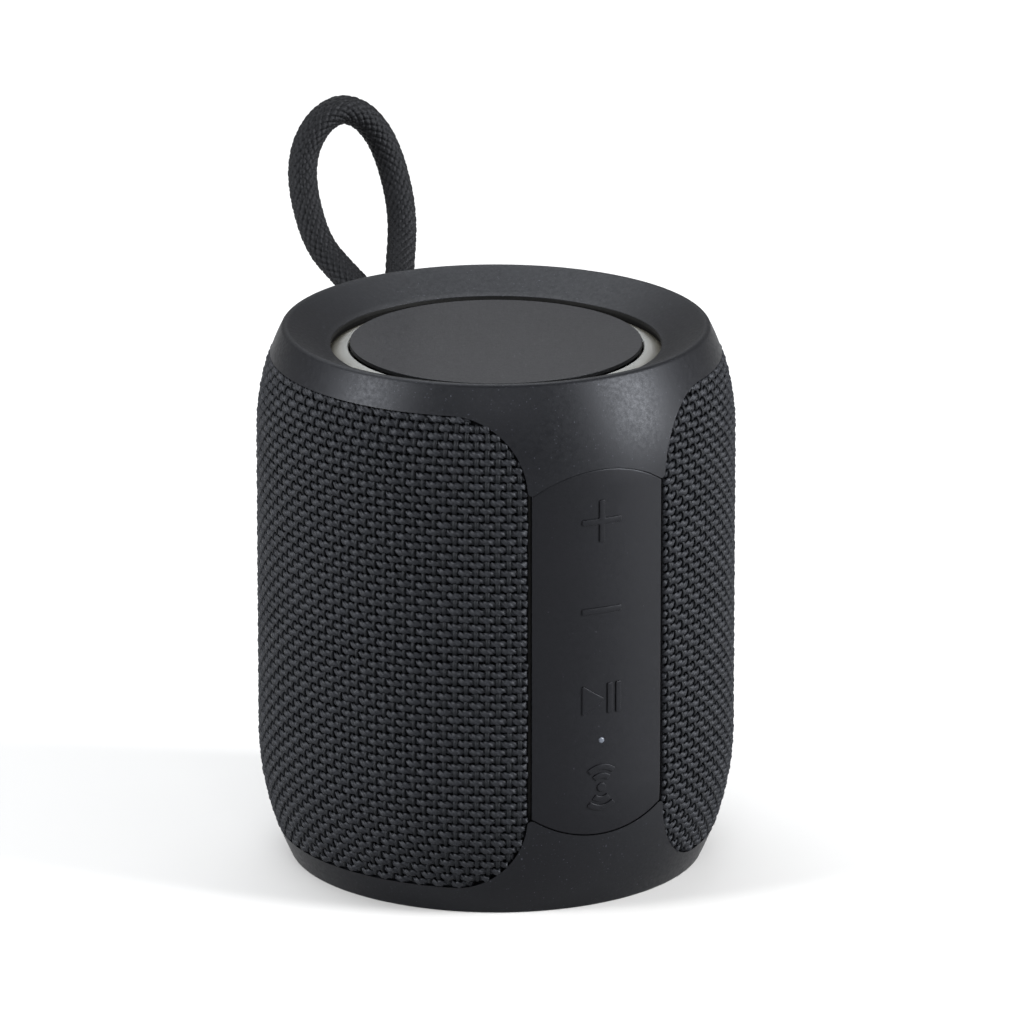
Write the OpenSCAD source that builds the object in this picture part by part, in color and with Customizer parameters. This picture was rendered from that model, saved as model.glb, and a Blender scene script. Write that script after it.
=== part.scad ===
// Small barrel-shaped splash-proof speaker with a carrying loop.
// The front strip with the keys faces -Y, the base stands on z = 0.

/* [Body] */
// Outside diameter at mid height
body_d = 90; // [90:0.5:94]
// Overall height
body_h = 103.6; // [103:0.2:106]
// Height below which the flank curves in to the base
low_flank_z = 25; // [22:0.5:28]
// Radius of the lower flank's curve
low_flank_r = 55.5; // [50:0.5:60]
// Length of the upper flank, from where it starts to curve in up to the rim
high_flank_len = 20.1; // [19:0.1:21]
// Radius of the upper flank's curve
high_flank_r = 43.6; // [42:0.1:46]
// Thickness of the rubber coating
skin_t = 1.6; // [1.4:0.1:1.7]
// Wall of the rigid core under the coating
core_t = 2.1; // [1.8:0.1:2.3]

/* [Top] */
// Radius of the opening at the bottom of the funnel
opening_r = 31.2; // [31:0.1:31.4]
// Depth of the funnel below the rim
funnel_drop = 3.8; // [3.6:0.1:4.0]
// Radius of the radiator disc
disc_r = 27.5; // [26.5:0.1:27.7]
// Depth of the disc's face below the rim
disc_drop = 3.5; // [3.3:0.1:3.7]
// Thickness of the disc's edge
disc_t = 0.8; // [0.7:0.1:0.9]

/* [Cloth panels] */
// Half angle of a cloth window
window_half_a = 72; // [70:0.5:73]
// Lower edge of a cloth window
window_z0 = 5.2; // [5:0.1:6]
// Upper edge of a cloth window, below the rim
window_top_drop = 5.2; // [5:0.1:6]
// Corner radius of a cloth window
window_corner_r = 15; // [12:0.5:16]
// Gap round a cloth panel
panel_gap = 0.5; // [0.4:0.1:0.7]

/* [Keys] */
// Half angle of the button pad
pad_half_a = 17.4; // [16.8:0.1:17.6]
// Lowest point of the pad
pad_z0 = 15.8; // [15:0.1:17]
// Highest point of the pad
pad_z1 = 87.4; // [87:0.1:88]
// Radius of the arcs that end the pad
pad_arc_r = 24; // [22:0.5:28]
// Height of the middle of the top key
top_key_z = 77.4; // [77:0.1:78]
// Distance from one key to the next
key_pitch = 17.35; // [17:0.05:17.5]
// Height of a key
key_h = 12.4; // [11:0.1:12.6]
// Half angle of a key
key_half_a = 15; // [13:0.5:15.5]
// Travel of a key
key_travel = 0.45; // [0.3:0.05:0.45]

/* [Hanging loop] */
// Diameter of the braided cord
cord_d = 5.5; // [5:0.1:5.6]

/* [Hidden] */

$fn = 96;
eps = 0.01;
body_r = body_d / 2;
high_flank_z = body_h - high_flank_len;

// Colours
charcoal = [0.20, 0.20, 0.22];
black_plastic = [0.07, 0.07, 0.08];
cloth_black = [0.05, 0.055, 0.06];
rubber_black = [0.03, 0.03, 0.03];
milky = [0.86, 0.88, 0.86];
steel = [0.62, 0.63, 0.65];
board_green = [0.05, 0.25, 0.14];
cone_grey = [0.14, 0.14, 0.15];

// Outer radius of the body at height z: a straight middle between two arcs
function flank_drop(r, d) = r - sqrt(r * r - d * d);
function outer_r(z) =
    z < low_flank_z ? body_r - flank_drop(low_flank_r, low_flank_z - z) :
    z > high_flank_z ? body_r - flank_drop(high_flank_r, z - high_flank_z) : body_r;

flank_steps = 6;
function steps(a, b, n = flank_steps) = [for (i = [0:n]) a + (b - a) * i / n];
function side_heights(z0, z1) =
    concat([for (z = steps(z0, low_flank_z)) z], [for (z = steps(high_flank_z, z1)) z]);
function side_points(z0, z1, inset) = [for (z = side_heights(z0, z1)) [outer_r(z) - inset, z]];
function reversed(list) = [for (i = [len(list) - 1:-1:0]) list[i]];
function arc_points(c, r, a0, a1, n) =
    [for (a = steps(a0, a1, n)) [c[0] + r * cos(a), c[1] + r * sin(a)]];

// A layer of the barrel between two insets from its outer surface
module barrel_layer(z0, z1, inset_out, inset_in)
    rotate_extrude()
        polygon(concat(side_points(z0, z1, inset_out), reversed(side_points(z0, z1, inset_in))));

// A ring of rectangular section about Z
module ring(r_in, r_out, z0, z1)
    rotate_extrude() translate([r_in, z0]) square([r_out - r_in, z1 - z0]);

// Points along a rectangle with rounded corners, counter-clockwise from its lower right corner
function rounded_rect(w, h, r, n = 5) = [for (corner = [0:3])
    let (a0 = -90 + 90 * corner, cx = (a0 < 0 || a0 == 0 ? 1 : -1) * (w / 2 - r),
         cy = (a0 == 0 || a0 == 90 ? 1 : -1) * (h / 2 - r))
        each arc_points([cx, cy], r, a0, a0 + 90, n)];
// The same closed outline with its long straight stretches divided
max_stretch = 12;
function divided(points) = [for (i = [0:len(points) - 1])
    let (a = points[i], b = points[(i + 1) % len(points)], n = max(1, ceil(norm(b - a) / max_stretch)))
        each [for (k = [0:n - 1]) a + (b - a) * k / n]];
function shifted(points, move) = [for (p = points) p + move];

// A prism that widens away from the Z axis, centred on the direction +X. The outline's points are
// [distance along the surface of the body, height].
function radial_point(p, r) = let (a = p[0] / body_r * 180 / PI) [r * cos(a), r * sin(a), p[1]];
module radial_prism(outline, r_in = 30, r_out = 60) {
    n = len(outline);
    heights = [for (p = outline) p[1]];
    middle_z = (min(heights) + max(heights)) / 2;
    points = concat([for (p = outline) radial_point(p, r_in)], [for (p = outline) radial_point(p, r_out)],
                    [[0.9 * r_in, 0, middle_z], [1.25 * r_out, 0, middle_z]]);
    polyhedron(points, [for (i = [0:n - 1]) let (j = (i + 1) % n)
        each [[i, n + i, n + j], [i, n + j, j], [2 * n, i, j], [2 * n + 1, n + j, n + i]]], convexity = 4);
}
// A radial prism over a rounded rectangle from z0 to z1
module radial_block(half_a, z0, z1, corner_r, grow = 0, r_in = 30) {
    w = 2 * (half_a * PI / 180 * body_r + grow);
    outline = rounded_rect(w, z1 - z0 + 2 * grow, corner_r + grow);
    radial_prism(divided(shifted(outline, [0, (z0 + z1) / 2])), r_in);
}

module to_front() rotate([0, 0, -90]) children();
module to_back() rotate([0, 0, 90]) children();
// Turns a shape drawn along +Z so that it points to +X (side 1) or -X (side -1)
module to_side(side, z) translate([0, 0, z]) rotate([0, 90 * side, 0]) children();
// A cylinder along Y from y0 to y1
module y_cylinder(x, z, r, y0, y1) translate([x, y0, z]) rotate([-90, 0, 0]) cylinder(r = r, h = y1 - y0);
// A rectangle with rounded corners round (0, z), pushed along Y
module y_slot(w, h, z, corner_r, y0, y1)
    translate([0, y1, z]) rotate([90, 0, 0]) linear_extrude(y1 - y0) polygon(rounded_rect(w, h, corner_r));

// ---------------------------------------------------------------- layers

core_out = skin_t + 0.1;
core_in = core_out + core_t;
window_z1 = body_h - window_top_drop;

module window(side, grow = 0) rotate([0, 0, side > 0 ? 0 : 180])
    radial_block(window_half_a, window_z0, window_z1, window_corner_r, grow);

// ---------------------------------------------------------------- keys

// Keys from the top: 0 volume up, 1 volume down, 2 play, 3 pairing
function key_z(i) = top_key_z - i * key_pitch;
pad_out = 0.30;                     // pad face below the body's surface
pad_web_in = skin_t - 0.05;         // the pad's web lies on the core
key_in = 1.05;                      // underside of a key's cap
key_gap = 0.3;
icon_proud = 0.30;
plunger_r = 1.5;
plunger_tip_y = -40.55;
stem_r = 1.0;
key_board_y = -38.0;                // face of the key board that carries the switches
switch_bore_y = key_board_y - 0.3;  // bottom of the bore that a stem slides in
stem_in_y = switch_bore_y - 2 * key_travel;
status_z = (key_z(2) + key_z(3)) / 2;
pipe_r = 0.57;

// The pad is a band with an arc at each end
module pad_outline(grow = 0) {
    half_w = pad_half_a * PI / 180 * body_r + grow;
    r = pad_arc_r + grow;
    half_arc_a = asin(half_w / r);
    to_front() radial_prism(divided(concat(
        arc_points([0, pad_z0 + pad_arc_r], r, 270 - half_arc_a, 270 + half_arc_a, 8),
        arc_points([0, pad_z1 - pad_arc_r], r, 90 - half_arc_a, 90 + half_arc_a, 8))), 35);
}
module key_outline(i, grow = 0)
    to_front() radial_block(key_half_a, key_z(i) - key_h / 2, key_z(i) + key_h / 2, 4, grow, 35);

// Symbols, drawn flat with +Y up
icon_w = 8.1;
icon_stroke = 1.1;
module bar(w, h) square([w, h], center = true);
module icon_arc(r, half_a) intersection() {
    difference() {
        circle(r = r + icon_stroke / 2);
        circle(r = r - icon_stroke / 2);
    }
    let (tip = 2 * r * [sin(half_a), cos(half_a)])
        polygon([[0, 0], [-tip[0], tip[1]], tip]);
}
module icon(i) {
    if (i == 0) { bar(icon_w, icon_stroke); bar(icon_stroke, icon_w); }
    if (i == 1) bar(icon_w, icon_stroke);
    if (i == 2) {
        polygon([[-4.0, -3.0], [-4.0, 3.0], [0.6, 0]]);
        for (x = [1.7, 3.5]) translate([x, 0]) bar(icon_stroke, 6);
    }
    if (i == 3) {
        circle(r = 0.9);
        for (turn = [0, 180], r = [2.3, 4.0]) rotate(turn) icon_arc(r, 40);
    }
}

module key(i) color(charcoal) {
    intersection() {
        barrel_layer(5, 95, pad_out, key_in);
        key_outline(i);
    }
    intersection() {
        barrel_layer(5, 95, pad_out - icon_proud, pad_out + 0.1);
        translate([0, -40, key_z(i)]) rotate([90, 0, 0]) linear_extrude(10) icon(i);
    }
    y_cylinder(0, key_z(i), plunger_r, -body_r + key_in - 0.3, plunger_tip_y);
}
module stem(i) color(steel) y_cylinder(0, key_z(i), stem_r, plunger_tip_y, stem_in_y);

module button_pad() color(charcoal) difference() {
    intersection() {
        barrel_layer(5, 95, pad_out, pad_web_in);
        pad_outline();
    }
    for (i = [0:3]) key_outline(i, key_gap);
    y_cylinder(0, status_z, pipe_r + 0.05, -50, -30);
}

// ---------------------------------------------------------------- boards behind the strips

board_t = 1.0;
board_w = 20;
main_board_y = 38.0;                // face that carries the socket
key_board_z = [12.5, 87];
main_board_z = [18, 72];
board_screw_x = 7.5;
board_screw_inset = 3;
function board_screw_zs(span) = [span[0] + board_screw_inset, span[1] - board_screw_inset];
switch_w = 6;
switch_h = 5;
switch_t = 2;

module board_holes(span, y0, y1)
    for (x = [-board_screw_x, board_screw_x], z = board_screw_zs(span)) y_cylinder(x, z, 0.95, y0, y1);

module key_board() color(board_green) difference() {
    translate([-board_w / 2, key_board_y, key_board_z[0]])
        cube([board_w, board_t, key_board_z[1] - key_board_z[0]]);
    board_holes(key_board_z, -40, -35);
}

module tact_switches() color(black_plastic) for (i = [0:3]) difference() {
    translate([-switch_w / 2, key_board_y - switch_t, key_z(i) - switch_h / 2])
        cube([switch_w, switch_t, switch_h]);
    y_cylinder(0, key_z(i), stem_r + 0.1, key_board_y - switch_t - 1, switch_bore_y);
}

status_led_t = 0.8;
module status_led() color(milky)
    translate([-0.8, key_board_y - status_led_t, status_z - 0.8]) cube([1.6, status_led_t, 1.6]);
module status_light_pipe() color(milky)
    y_cylinder(0, status_z, pipe_r, -body_r + pad_out, key_board_y - status_led_t - 0.1);

module main_board() color(board_green) difference() {
    translate([-board_w / 2, main_board_y - board_t, main_board_z[0]])
        cube([board_w, board_t, main_board_z[1] - main_board_z[0]]);
    board_holes(main_board_z, 35, 40);
}

// Chips as [x, z, width, height, thickness]
chips = [
    [-3, 44, 8, 8, 0.9], [5, 58, 5, 5, 0.8], [-5, 60, 4, 6, 1.0], [5.5, 45, 3, 4, 1.2], [0, 52, 3, 2, 0.7]
];
module board_chips() color(black_plastic) for (c = chips)
    translate([c[0] - c[2] / 2, main_board_y, c[1] - c[3] / 2]) cube([c[2], c[4], c[3]]);

screw_head_r = 1.5;
module board_screws() color(steel) {
    for (x = [-board_screw_x, board_screw_x], z = board_screw_zs(key_board_z)) {
        y_cylinder(x, z, 0.75, -40.5, key_board_y + board_t);
        y_cylinder(x, z, screw_head_r, key_board_y + board_t, key_board_y + board_t + 0.8);
    }
    for (x = [-board_screw_x, board_screw_x], z = board_screw_zs(main_board_z)) {
        y_cylinder(x, z, 0.75, main_board_y - board_t, 40.5);
        y_cylinder(x, z, screw_head_r, main_board_y - board_t - 0.8, main_board_y - board_t);
    }
}

// The ribbon cable goes down from one board, across under the enclosure and up to the other
ribbon_w = 8;
ribbon_t = 0.4;
ribbon_z = 6.4;
ribbon_y = [key_board_y + 0.5, main_board_y - 0.5];
module ribbon_cable() color(black_plastic)
    translate([-ribbon_w / 2, 0, 0]) rotate([90, 0, 90]) linear_extrude(ribbon_w) polygon([
        [ribbon_y[0], key_board_z[0]], [ribbon_y[0], ribbon_z], [ribbon_y[1], ribbon_z],
        [ribbon_y[1], main_board_z[0]], [ribbon_y[1] - ribbon_t, main_board_z[0]],
        [ribbon_y[1] - ribbon_t, ribbon_z + ribbon_t], [ribbon_y[0] + ribbon_t, ribbon_z + ribbon_t],
        [ribbon_y[0] + ribbon_t, key_board_z[0]]]);

// ---------------------------------------------------------------- charging port

port_z = 30;
flap_half_a = 10.8;
flap_z0 = 25.0;
flap_z1 = 36;
flap_bead_r = 1.0;
flap_bead_y = 43.7;
flap_bead_w = 11;
flap_in = 1.3;
flap_root = 0.9;                    // the flap's outline starts this far below its hinge
pocket_root = 1.7;                  // and its pocket this far, so that the open flap clears it
socket_w = 9.0;
socket_h = 3.2;
socket_tip_y = 42.4;

// A stadium, wide along X, pushed along Y
module y_stadium(w, h, z, y0, y1) y_slot(w, h, z, h / 2 - eps, y0, y1);
module usb_socket() color(steel) difference() {
    y_stadium(socket_w, socket_h, port_z, main_board_y, socket_tip_y);
    difference() {
        y_stadium(socket_w - 0.6, socket_h - 0.6, port_z, main_board_y + 1, socket_tip_y + 1);
        translate([-3.3, main_board_y, port_z - 0.35]) cube([6.6, 3.6, 0.7]);
    }
}
module socket_seal() color(rubber_black) difference() {
    y_stadium(socket_w + 2.6, socket_h + 2.6, port_z, 39.2, 40.4);
    y_stadium(socket_w + 0.1, socket_h + 0.1, port_z, 35, 45);
}
module port_flap() color(charcoal) {
    difference() {
        intersection() {
            barrel_layer(5, 95, 0, flap_in);
            to_back() radial_block(flap_half_a, flap_z0 - flap_root, flap_z1, 3, 0, 35);
            translate([-20, 30, flap_z0]) cube([40, 30, 20]);
        }
        // nail notch under the top edge
        y_stadium(7, 1.2, flap_z1 - 0.9, 44.2, 50);
    }
    difference() {
        y_stadium(socket_w - 1.0, socket_h - 1.0, port_z, socket_tip_y + 0.4, 44.2);
        y_stadium(socket_w - 3.0, socket_h - 2.6, port_z, 40, 43.6);
    }
    translate([-flap_bead_w / 2, flap_bead_y, flap_z0]) rotate([0, 90, 0])
        cylinder(r = flap_bead_r, h = flap_bead_w);
}
module flap_pocket(grow = 0.35) {
    to_back() radial_block(flap_half_a, flap_z0 - pocket_root, flap_z1, 3, grow, body_r - skin_t - 0.05);
    translate([-flap_bead_w / 2 - grow, flap_bead_y, flap_z0]) rotate([0, 90, 0])
        cylinder(r = flap_bead_r + 0.3, h = flap_bead_w + 2 * grow);
}

// ---------------------------------------------------------------- hanging loop

loop_pin_y = 40.6;
loop_pin_z = 87.4;
loop_pin_r = 1.2;
pocket_w = 15;
pocket_z = [80.5, 96];
pocket_floor_y = 36.7;
pocket_wall = 1.5;
leg_x = 2.9;
block_r = 3.5;
block_len = 5.0;
exit_a = 45;                        // direction of the legs above the horizontal
seat_depth = 3.2;                   // cord ends, from the pin's axis

// Right half of the loop's centre line, from its end in the block to the top.
// Each point is [half spread, y, z].
loop_half = [
    [2.9, 42.9, 89.7], [2.9, 45.0, 91.8], [3.0, 47.0, 93.9], [3.8, 50.0, 96.4], [5.2, 53.0, 98.6],
    [6.7, 55.8, 100.9], [8.2, 58.4, 103.5], [9.2, 60.4, 106.6], [9.7, 62.4, 110.4], [9.7, 64.4, 114.2],
    [9.1, 66.2, 118.4], [7.4, 67.4, 122.8], [4.2, 68.0, 126.6], [0, 68.2, 128.2]
];
loop_left = [for (i = [len(loop_half) - 2:-1:0]) [-loop_half[i][0], loop_half[i][1], loop_half[i][2]]];
loop_route = concat(loop_half, loop_left);
loop_sides = 12;

function unit(v) = v / norm(v);
// Direction of a route at point i, from its neighbours
function heading(route, i) = unit(route[min(i + 1, len(route) - 1)] - route[max(i - 1, 0)]);
// One ring of a tube round point i; "up" is never along the route
function tube_ring(route, i, r, sides, up) =
    let (t = heading(route, i), u = unit(cross(t, up)), v = cross(t, u))
        [for (k = [0:sides - 1]) route[i] + r * cos(360 * k / sides) * u + r * sin(360 * k / sides) * v];
module tube(route, r, sides, up) {
    last = len(route) - 1;
    rings = [for (i = [0:last]) each tube_ring(route, i, r, sides, up)];
    walls = [for (i = [0:last - 1], k = [0:sides - 1]) let (n = (k + 1) % sides)
        [i * sides + k, i * sides + n, (i + 1) * sides + n, (i + 1) * sides + k]];
    ends = [[for (k = [sides - 1:-1:0]) k], [for (k = [0:sides - 1]) last * sides + k]];
    polyhedron(rings, concat(walls, ends), convexity = 6);
}

module hanging_loop() color(rubber_black) tube(loop_route, cord_d / 2, loop_sides, [0, 0.7, -0.7]);

module loop_end_block() color(black_plastic)
    translate([0, loop_pin_y, loop_pin_z]) rotate([exit_a, 0, 0]) difference() {
        union() {
            translate([0, block_len, 0]) rotate([90, 0, 0]) linear_extrude(block_len) {
                square([2 * leg_x, 2 * block_r], center = true);
                for (x = [-leg_x, leg_x]) translate([x, 0]) circle(r = block_r);
            }
            rotate([0, 90, 0]) cylinder(r = block_r, h = 2 * (leg_x + block_r), center = true);
        }
        for (x = [-leg_x, leg_x]) translate([x, seat_depth, 0]) rotate([-90, 0, 0])
            cylinder(r = cord_d / 2 + 0.05, h = 10);
        rotate([0, 90, 0]) cylinder(r = loop_pin_r + 0.05, h = 20, center = true);
    }
module loop_pin() color(steel) translate([0, loop_pin_y, loop_pin_z]) rotate([0, 90, 0])
    cylinder(r = loop_pin_r, h = pocket_w + 2 * pocket_wall - 0.2, center = true);

module loop_pocket()
    y_slot(pocket_w, pocket_z[1] - pocket_z[0], (pocket_z[0] + pocket_z[1]) / 2, 2.5, pocket_floor_y, 60);

// ---------------------------------------------------------------- rubber-coated frame

rim_r = 1.1;                        // rounding of the rim
rim_c = [outer_r(body_h - rim_r) - rim_r, body_h - rim_r];
funnel_a = atan(funnel_drop / (rim_c[0] - opening_r));
lip_t = 0.6;
skirt_r = opening_r + 0.8;
skirt_z = body_h - 5.9;
skirt_t = 1.6;
base_ring_r = 37.2;
base_ring_t = 2.4;
under_rim_z = body_h - 2.1;         // underside of the funnel near the rim

module frame_skin() color(charcoal) difference() {
    rotate_extrude() polygon(concat(
        [[base_ring_r, 0], [outer_r(0) - 0.5, 0]],
        side_points(0.5, rim_c[1], 0),
        arc_points(rim_c, rim_r, 15, 90 + funnel_a, 6),
        [[opening_r + 0.25, body_h - funnel_drop + 0.1], [opening_r, body_h - funnel_drop - 0.15],
         [opening_r, body_h - funnel_drop - lip_t], [skirt_r, body_h - funnel_drop - lip_t],
         [skirt_r, skirt_z], [skirt_r + skirt_t, skirt_z], [skirt_r + skirt_t, body_h - 4.2],
         [rim_c[0] - 1.1, under_rim_z]],
        reversed(side_points(base_ring_t, body_h - 3.4, skin_t)),
        [[base_ring_r, base_ring_t]]));
    for (side = [-1, 1]) window(side);
    pad_outline(0.25);
    flap_pocket();
    loop_pocket();
}

// Outline of the core's outer face, closed to the axis, for trimming what is added to it
core_top_z = body_h - 5;
module core_envelope() rotate_extrude()
    polygon(concat([[0, 3.6]], side_points(3.6, core_top_z, core_out), [[0, core_top_z]]));

core_ring_r = 34.4;
base_screw_r = 33;
base_screw_as = [45, 135, 225, 315];
flange_r = 30;
flange_z = [3.6, 5.6];
boss_z = 9;
ledge_w = 2.5;
ledge_in = 2.3;

module frame_core() color(black_plastic) difference() {
    union() {
        difference() {
            rotate_extrude() polygon(concat(
                [[flange_r, flange_z[0]]],
                side_points(flange_z[0], core_top_z, core_out),
                [[outer_r(body_h - 3.4) - skin_t - 1.2, body_h - 3.4], [core_ring_r, body_h - 4.4],
                 [core_ring_r, body_h - 7.4], [36.5, body_h - 7.4]],
                reversed(side_points(flange_z[1], body_h - 8.6, core_in)),
                [[flange_r, flange_z[1]]]));
            for (side = [-1, 1]) window(side);
        }
        // ledge that the grilles rest on
        for (side = [-1, 1]) difference() {
            intersection() {
                barrel_layer(flange_z[1], body_h - 8.6, ledge_in, core_in);
                window(side, 0.2);
            }
            window(side, -ledge_w);
        }
        // cup for the loop's end block
        intersection() {
            translate([-pocket_w / 2 - pocket_wall, pocket_floor_y - pocket_wall, pocket_z[0] - pocket_wall])
                cube([pocket_w + 2 * pocket_wall, 10, pocket_z[1] - pocket_z[0] + 2 * pocket_wall]);
            core_envelope();
        }
        // posts for the boards
        intersection() {
            for (x = [-board_screw_x, board_screw_x]) {
                for (z = board_screw_zs(key_board_z)) y_cylinder(x, z, 1.9, -44, key_board_y);
                for (z = board_screw_zs(main_board_z)) y_cylinder(x, z, 1.9, main_board_y, 44);
            }
            core_envelope();
        }
        for (a = base_screw_as) rotate([0, 0, a]) translate([base_screw_r, 0, flange_z[0]])
            cylinder(r = 2.9, h = boss_z - flange_z[0]);
    }
    for (a = base_screw_as) rotate([0, 0, a]) translate([base_screw_r, 0, 0]) cylinder(r = 1.25, h = 8.4);
    for (x = [-board_screw_x, board_screw_x]) {
        for (z = board_screw_zs(key_board_z)) y_cylinder(x, z, 0.8, -41, -30);
        for (z = board_screw_zs(main_board_z)) y_cylinder(x, z, 0.8, 30, 41);
    }
    for (i = [0:3]) y_cylinder(0, key_z(i), plunger_r + 0.3, -50, -30);
    y_cylinder(0, status_z, pipe_r + 0.2, -50, -30);
    y_stadium(socket_w + 0.6, socket_h + 0.6, port_z, 35, 50);
    flap_pocket();
    loop_pocket();
    translate([0, loop_pin_y, loop_pin_z]) rotate([0, 90, 0])
        cylinder(r = loop_pin_r, h = pocket_w + 2 * pocket_wall - 0.2, center = true);
}

// ---------------------------------------------------------------- base

cap_r = 36.9;
cap_z = [0.8, 3.4];
foot_r = [26, 30];
foot_h = 1.8;
base_head_r = 2.3;
base_head_t = 1.3;
module base_cap() color(charcoal) difference() {
    rotate_extrude() polygon([[0, cap_z[0]], [cap_r - 0.6, cap_z[0]], [cap_r, cap_z[0] + 0.6],
                              [cap_r, cap_z[1]], [0, cap_z[1]]]);
    ring(foot_r[0] - 0.05, foot_r[1] + 0.05, -1, foot_h);
    for (a = base_screw_as) rotate([0, 0, a]) translate([base_screw_r, 0, 0]) {
        cylinder(r = 1.4, h = 10);
        cylinder(r = base_head_r + 0.2, h = cap_z[0] + base_head_t);
    }
}
module foot_ring() color(rubber_black) rotate_extrude() polygon(concat(
    [[foot_r[0], foot_h], [foot_r[0], 0.5]], arc_points([foot_r[0] + 0.5, 0.5], 0.5, 180, 270, 4),
    arc_points([foot_r[1] - 0.5, 0.5], 0.5, 270, 360, 4), [[foot_r[1], foot_h]]));
module base_screws() color(steel) for (a = base_screw_as) rotate([0, 0, a])
    translate([base_screw_r, 0, 0]) difference() {
        union() {
            translate([0, 0, cap_z[0] + 0.1]) cylinder(r = base_head_r, h = base_head_t - 0.1);
            cylinder(r = 1.2, h = 8.2);
        }
        // cross recess in the head
        translate([0, 0, -1]) cylinder(r = 3, h = cap_z[0] + 1.1);
        for (turn = [0, 90]) rotate([0, 0, turn]) translate([-1.3, -0.3, 0]) cube([2.6, 0.6, 1.5]);
    }

// ---------------------------------------------------------------- cloth and grilles

cloth_in = 0.85;
grille_out = 0.95;
grille_in = 2.1;
module cloth_panel(side) color(cloth_black) intersection() {
    barrel_layer(window_z0 - 1, window_z1 + 1, 0.05, cloth_in);
    window(side, -panel_gap);
}
grille_hole_r = 3.4;
grille_cols = 5;
grille_rows = 8;
module grille(side) color(black_plastic) difference() {
    intersection() {
        barrel_layer(window_z0 - 1, window_z1 + 1, grille_out, grille_in);
        window(side, -panel_gap);
    }
    for (c = [0:grille_cols - 1], r = [0:grille_rows - 1])
        rotate([0, 0, (side > 0 ? 0 : 180) + (c - (grille_cols - 1) / 2) * 24])
            translate([38, 0, 16.4 + r * 10.2]) rotate([0, 90, 0]) cylinder(r = grille_hole_r, h = 12);
}

// ---------------------------------------------------------------- light ring and radiator

diffuser_in_r = disc_r + 0.3;
diffuser_foot_r = disc_r + 0.8;     // clear of the radiator's ring
diffuser_top_z = body_h - 4.35;
diffuser_low_z = body_h - 7;
module light_diffuser() color(milky) rotate_extrude() polygon(concat(
    [[diffuser_foot_r, diffuser_low_z], [diffuser_foot_r, body_h - 6], [diffuser_in_r, body_h - 5.5]],
    arc_points([diffuser_in_r + 0.25, diffuser_top_z - 0.25], 0.25, 180, 65, 4),
    [[32.6, body_h - 6.15], [34.2, body_h - 6.15], [34.2, diffuser_low_z]]));

led_board_z = 94.0;
led_r = 31.2;
led_count = 12;
led_size = 2.8;
led_t = 0.9;
module led_board() color(board_green) ring(28.8, 33.8, led_board_z, led_board_z + board_t);
module ring_leds() color(milky) for (i = [0:led_count - 1])
    rotate([0, 0, (i + 0.5) * 360 / led_count])
        translate([led_r - led_size / 2, -led_size / 2, led_board_z + board_t])
            cube([led_size, led_size, led_t]);

disc_z = body_h - disc_drop;
disc_low_z = disc_z - disc_t;
hub_r = 19;
hub_flange_z = 94.0;
radiator_top_z = body_h - 6.5;
radiator_low_z = 93.1;
module radiator_disc() color(charcoal) rotate_extrude() polygon(concat(
    [[0, disc_z]], arc_points([disc_r - 0.12, disc_z - 0.12], 0.12, 90, 0, 3),
    [[disc_r, disc_low_z + 0.1], [disc_r - 0.1, disc_low_z], [hub_r - 1, disc_low_z],
     [hub_r - 1, hub_flange_z + 1], [hub_r + 1.8, hub_flange_z + 1], [hub_r + 1.8, hub_flange_z],
     [0, hub_flange_z]]));
module radiator_weight() color(steel) translate([0, 0, 89.8]) cylinder(r = 12, h = hub_flange_z - 89.8);
module radiator_surround() color(rubber_black) rotate_extrude() polygon(concat(
    [[hub_r + 0.2, hub_flange_z - 0.05], [hub_r + 0.2, hub_flange_z - 0.45]],
    arc_points([hub_r + 4, hub_flange_z - 0.45], 2.2, 180, 360, 10),
    [[25.2, hub_flange_z - 0.45], [25.2, hub_flange_z - 0.05]],
    arc_points([hub_r + 4, hub_flange_z - 0.45], 1.8, 360, 180, 10)));
module radiator_ring() color(black_plastic) rotate_extrude() polygon([
    [25.3, radiator_low_z], [28.1, radiator_low_z], [28.1, radiator_top_z - 0.4], [27.7, radiator_top_z],
    [26.6, radiator_top_z], [26.6, radiator_low_z + 1.6], [25.3, radiator_low_z + 1.2]]);

enclosure_r = 35;
enclosure_wall = 2;
enclosure_top_z = 92.6;
radiator_bore_r = 25.5;
module radiator_gasket() color(rubber_black) ring(radiator_bore_r, 28.1, enclosure_top_z, radiator_low_z);

// ---------------------------------------------------------------- enclosure

driver_z = 52;
seat_x = 33.9;
seat_in_x = 21;
seat_r = 23.2;
seat_bore_r = 19.4;
driver_screw_r = 20.7;
driver_screw_as = [45, 135, 225, 315];
lid_z = [10, 12];
gasket_t = 0.5;
lid_screw_r = 30.2;
lid_screw_as = [30, 150, 210, 330];

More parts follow.
